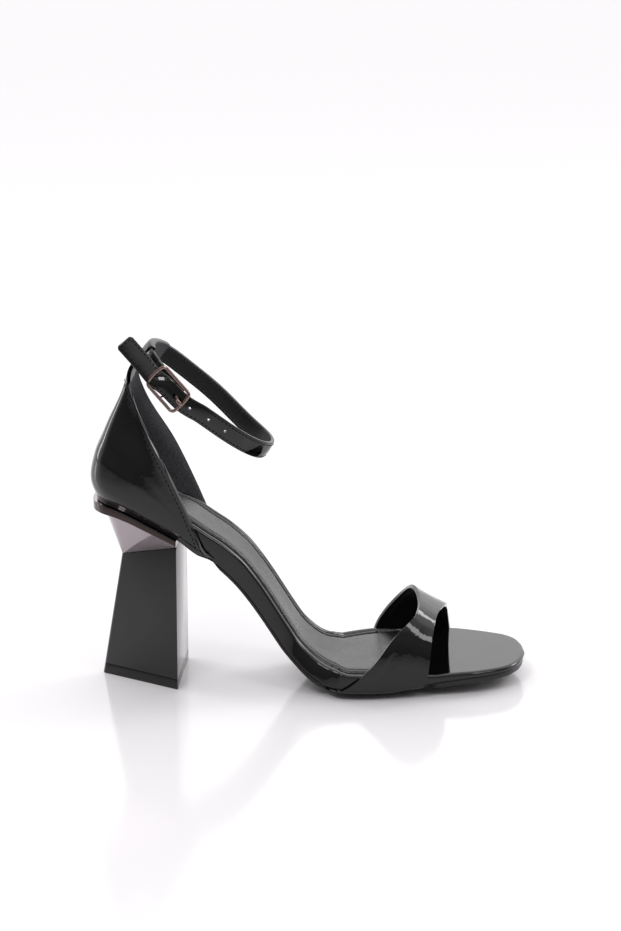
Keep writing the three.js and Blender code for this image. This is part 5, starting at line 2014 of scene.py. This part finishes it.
@dataclass
class Studio:
    """Pale floor, soft lights and the camera."""

    distance: float = 1500.0
    focal_pixels: float = 3000.0
    azimuth: float = math.radians(4.2)
    elevation: float = math.radians(16.0)
    target: tuple[float, float, float] = (40 / 3, 0.0, 0.0)
    target_pixel: tuple[float, float] = (183.2, 673.5)
    picture: tuple[int, int] = (621, 931)
    sensor: float = 36.0
    floor_color: tuple[float, ...] = (0.705, 0.692, 0.706, 1)
    floor_rough: float = 0.12
    floor_ior: float = 1.36
    world_strength: float = 1.3

    def build_camera(self) -> None:
        """Places the camera as the photograph's."""
        a, e = self.azimuth, self.elevation
        back = Vector((math.sin(a) * math.cos(e), -math.cos(a) * math.cos(e), math.sin(e)))
        right = Vector((math.cos(a), math.sin(a), 0))
        up = back.cross(right)
        wide, high = self.picture
        u = (self.target_pixel[0] - wide / 2) / self.focal_pixels * self.distance
        v = -(self.target_pixel[1] - high / 2) / self.focal_pixels * self.distance
        place = Vector(self.target) + back * self.distance - right * u - up * v
        data = bpy.data.cameras.new("camera")
        data.sensor_fit = "VERTICAL"
        data.sensor_height = self.sensor
        data.sensor_width = self.sensor
        data.lens = self.focal_pixels / high * self.sensor
        data.clip_start = 0.05
        data.clip_end = 60.0
        camera = bpy.data.objects.new("camera", data)
        axes = Matrix((right, up, back)).transposed().to_4x4()
        camera.matrix_world = Matrix.Translation(place * MM) @ axes
        bpy.context.scene.collection.objects.link(camera)
        bpy.context.scene.camera = camera

    def build_floor(self) -> None:
        """Lays a pale glossy floor that fades into the backdrop."""
        bpy.ops.object.select_all(action="DESELECT")
        bpy.ops.mesh.primitive_plane_add(size=30.0)
        floor = bpy.context.object
        floor.name = "floor"
        material = bpy.data.materials.new("studio_floor")
        material.use_nodes = True
        shader = material.node_tree.nodes["Principled BSDF"]
        shader.inputs["Base Color"].default_value = self.floor_color
        shader.inputs["Roughness"].default_value = self.floor_rough
        shader.inputs["IOR"].default_value = self.floor_ior
        floor.data.materials.append(material)

    def build_world(self) -> None:
        """Surrounds the shoe with a white studio that is dark on the camera's side."""
        world = bpy.data.worlds.new("studio")
        bpy.context.scene.world = world
        world.use_nodes = True
        tree = world.node_tree
        tree.nodes.clear()
        place = add_node(tree, "TexCoord", {}).outputs["Generated"]
        split = add_node(tree, "SeparateXYZ", {0: place}).outputs

        def ramp(axis: str, span: Pair, ends: Pair, kind: str) -> bpy.types.NodeSocket:
            """Brightness that runs between two values along an axis."""
            inputs = {
                "Value": split[axis],
                "From Min": span[0],
                "From Max": span[1],
                "To Min": ends[0],
                "To Max": ends[1],
            }
            return add_node(tree, "MapRange", inputs, interpolation_type=kind).outputs["Result"]

        back = ramp("Y", (-0.22, 0.22), (0.20, 1.0), "SMOOTHSTEP")
        rise = ramp("Z", (0.0, 0.34), (0.72, 1.22), "LINEAR")
        ceiling = ramp("Z", (0.42, 0.80), (0.0, 0.78), "SMOOTHSTEP")
        graded = add_node(tree, "Math", {0: back, 1: rise}, operation="MULTIPLY").outputs[0]
        most = add_node(tree, "Math", {0: graded, 1: ceiling}, operation="MAXIMUM").outputs[0]
        colors = {"A": (0, 0, 0, 1), "B": (1.0, 0.985, 0.995, 1), "Factor": most}
        tint = add_node(tree, "Mix", colors, data_type="RGBA", clamp_factor=False)
        light = {"Color": tint.outputs["Result"], "Strength": self.world_strength}
        glow = add_node(tree, "Background", light)
        add_node(tree, "OutputWorld", {"Surface": glow.outputs[0]})

    def build(self) -> None:
        """Builds the whole set."""
        self.build_camera()
        self.build_floor()
        self.build_world()
        for box in (
            Softbox("key", (-0.33, -0.92, 1.32), (0.05, 0, 0.08), (0.45, 0.45), 6.6),
            Softbox("fill", (1.1, -0.75, 1.2), (0.05, 0, 0.05), (0.35, 0.7), 4.0),
            Softbox("side", (-1.44, 0.62, 0.46), (0.0, 0, 0.1), (0.3, 0.8), 3.4),
            Softbox("wing", (1.2, 0.78, 0.80), (0.13, -0.01, 0.04), (0.5, 0.5), 5.2),
        ):
            box.build()
        scene = bpy.context.scene
        scene.view_settings.view_transform = "Standard"


def main() -> None:
    """Builds the shoe and its studio."""
    logging.basicConfig(level=logging.INFO, format="%(message)s")
    effects = Effects(make_ripple_group(), make_grain_group(), make_haze_group())
    looks = Finishes().build(effects)
    form, ring = SoleForm(), Ring()
    SoleUnit(form, looks).build()
    HeelUnit(form, looks).build()
    strap = AnkleStrap(ring, looks)
    CounterUpper(form, strap, looks).build()
    ToeBand(form, looks).build()
    strap.build()
    Studio().build()


if __name__ == "__main__":
    main()
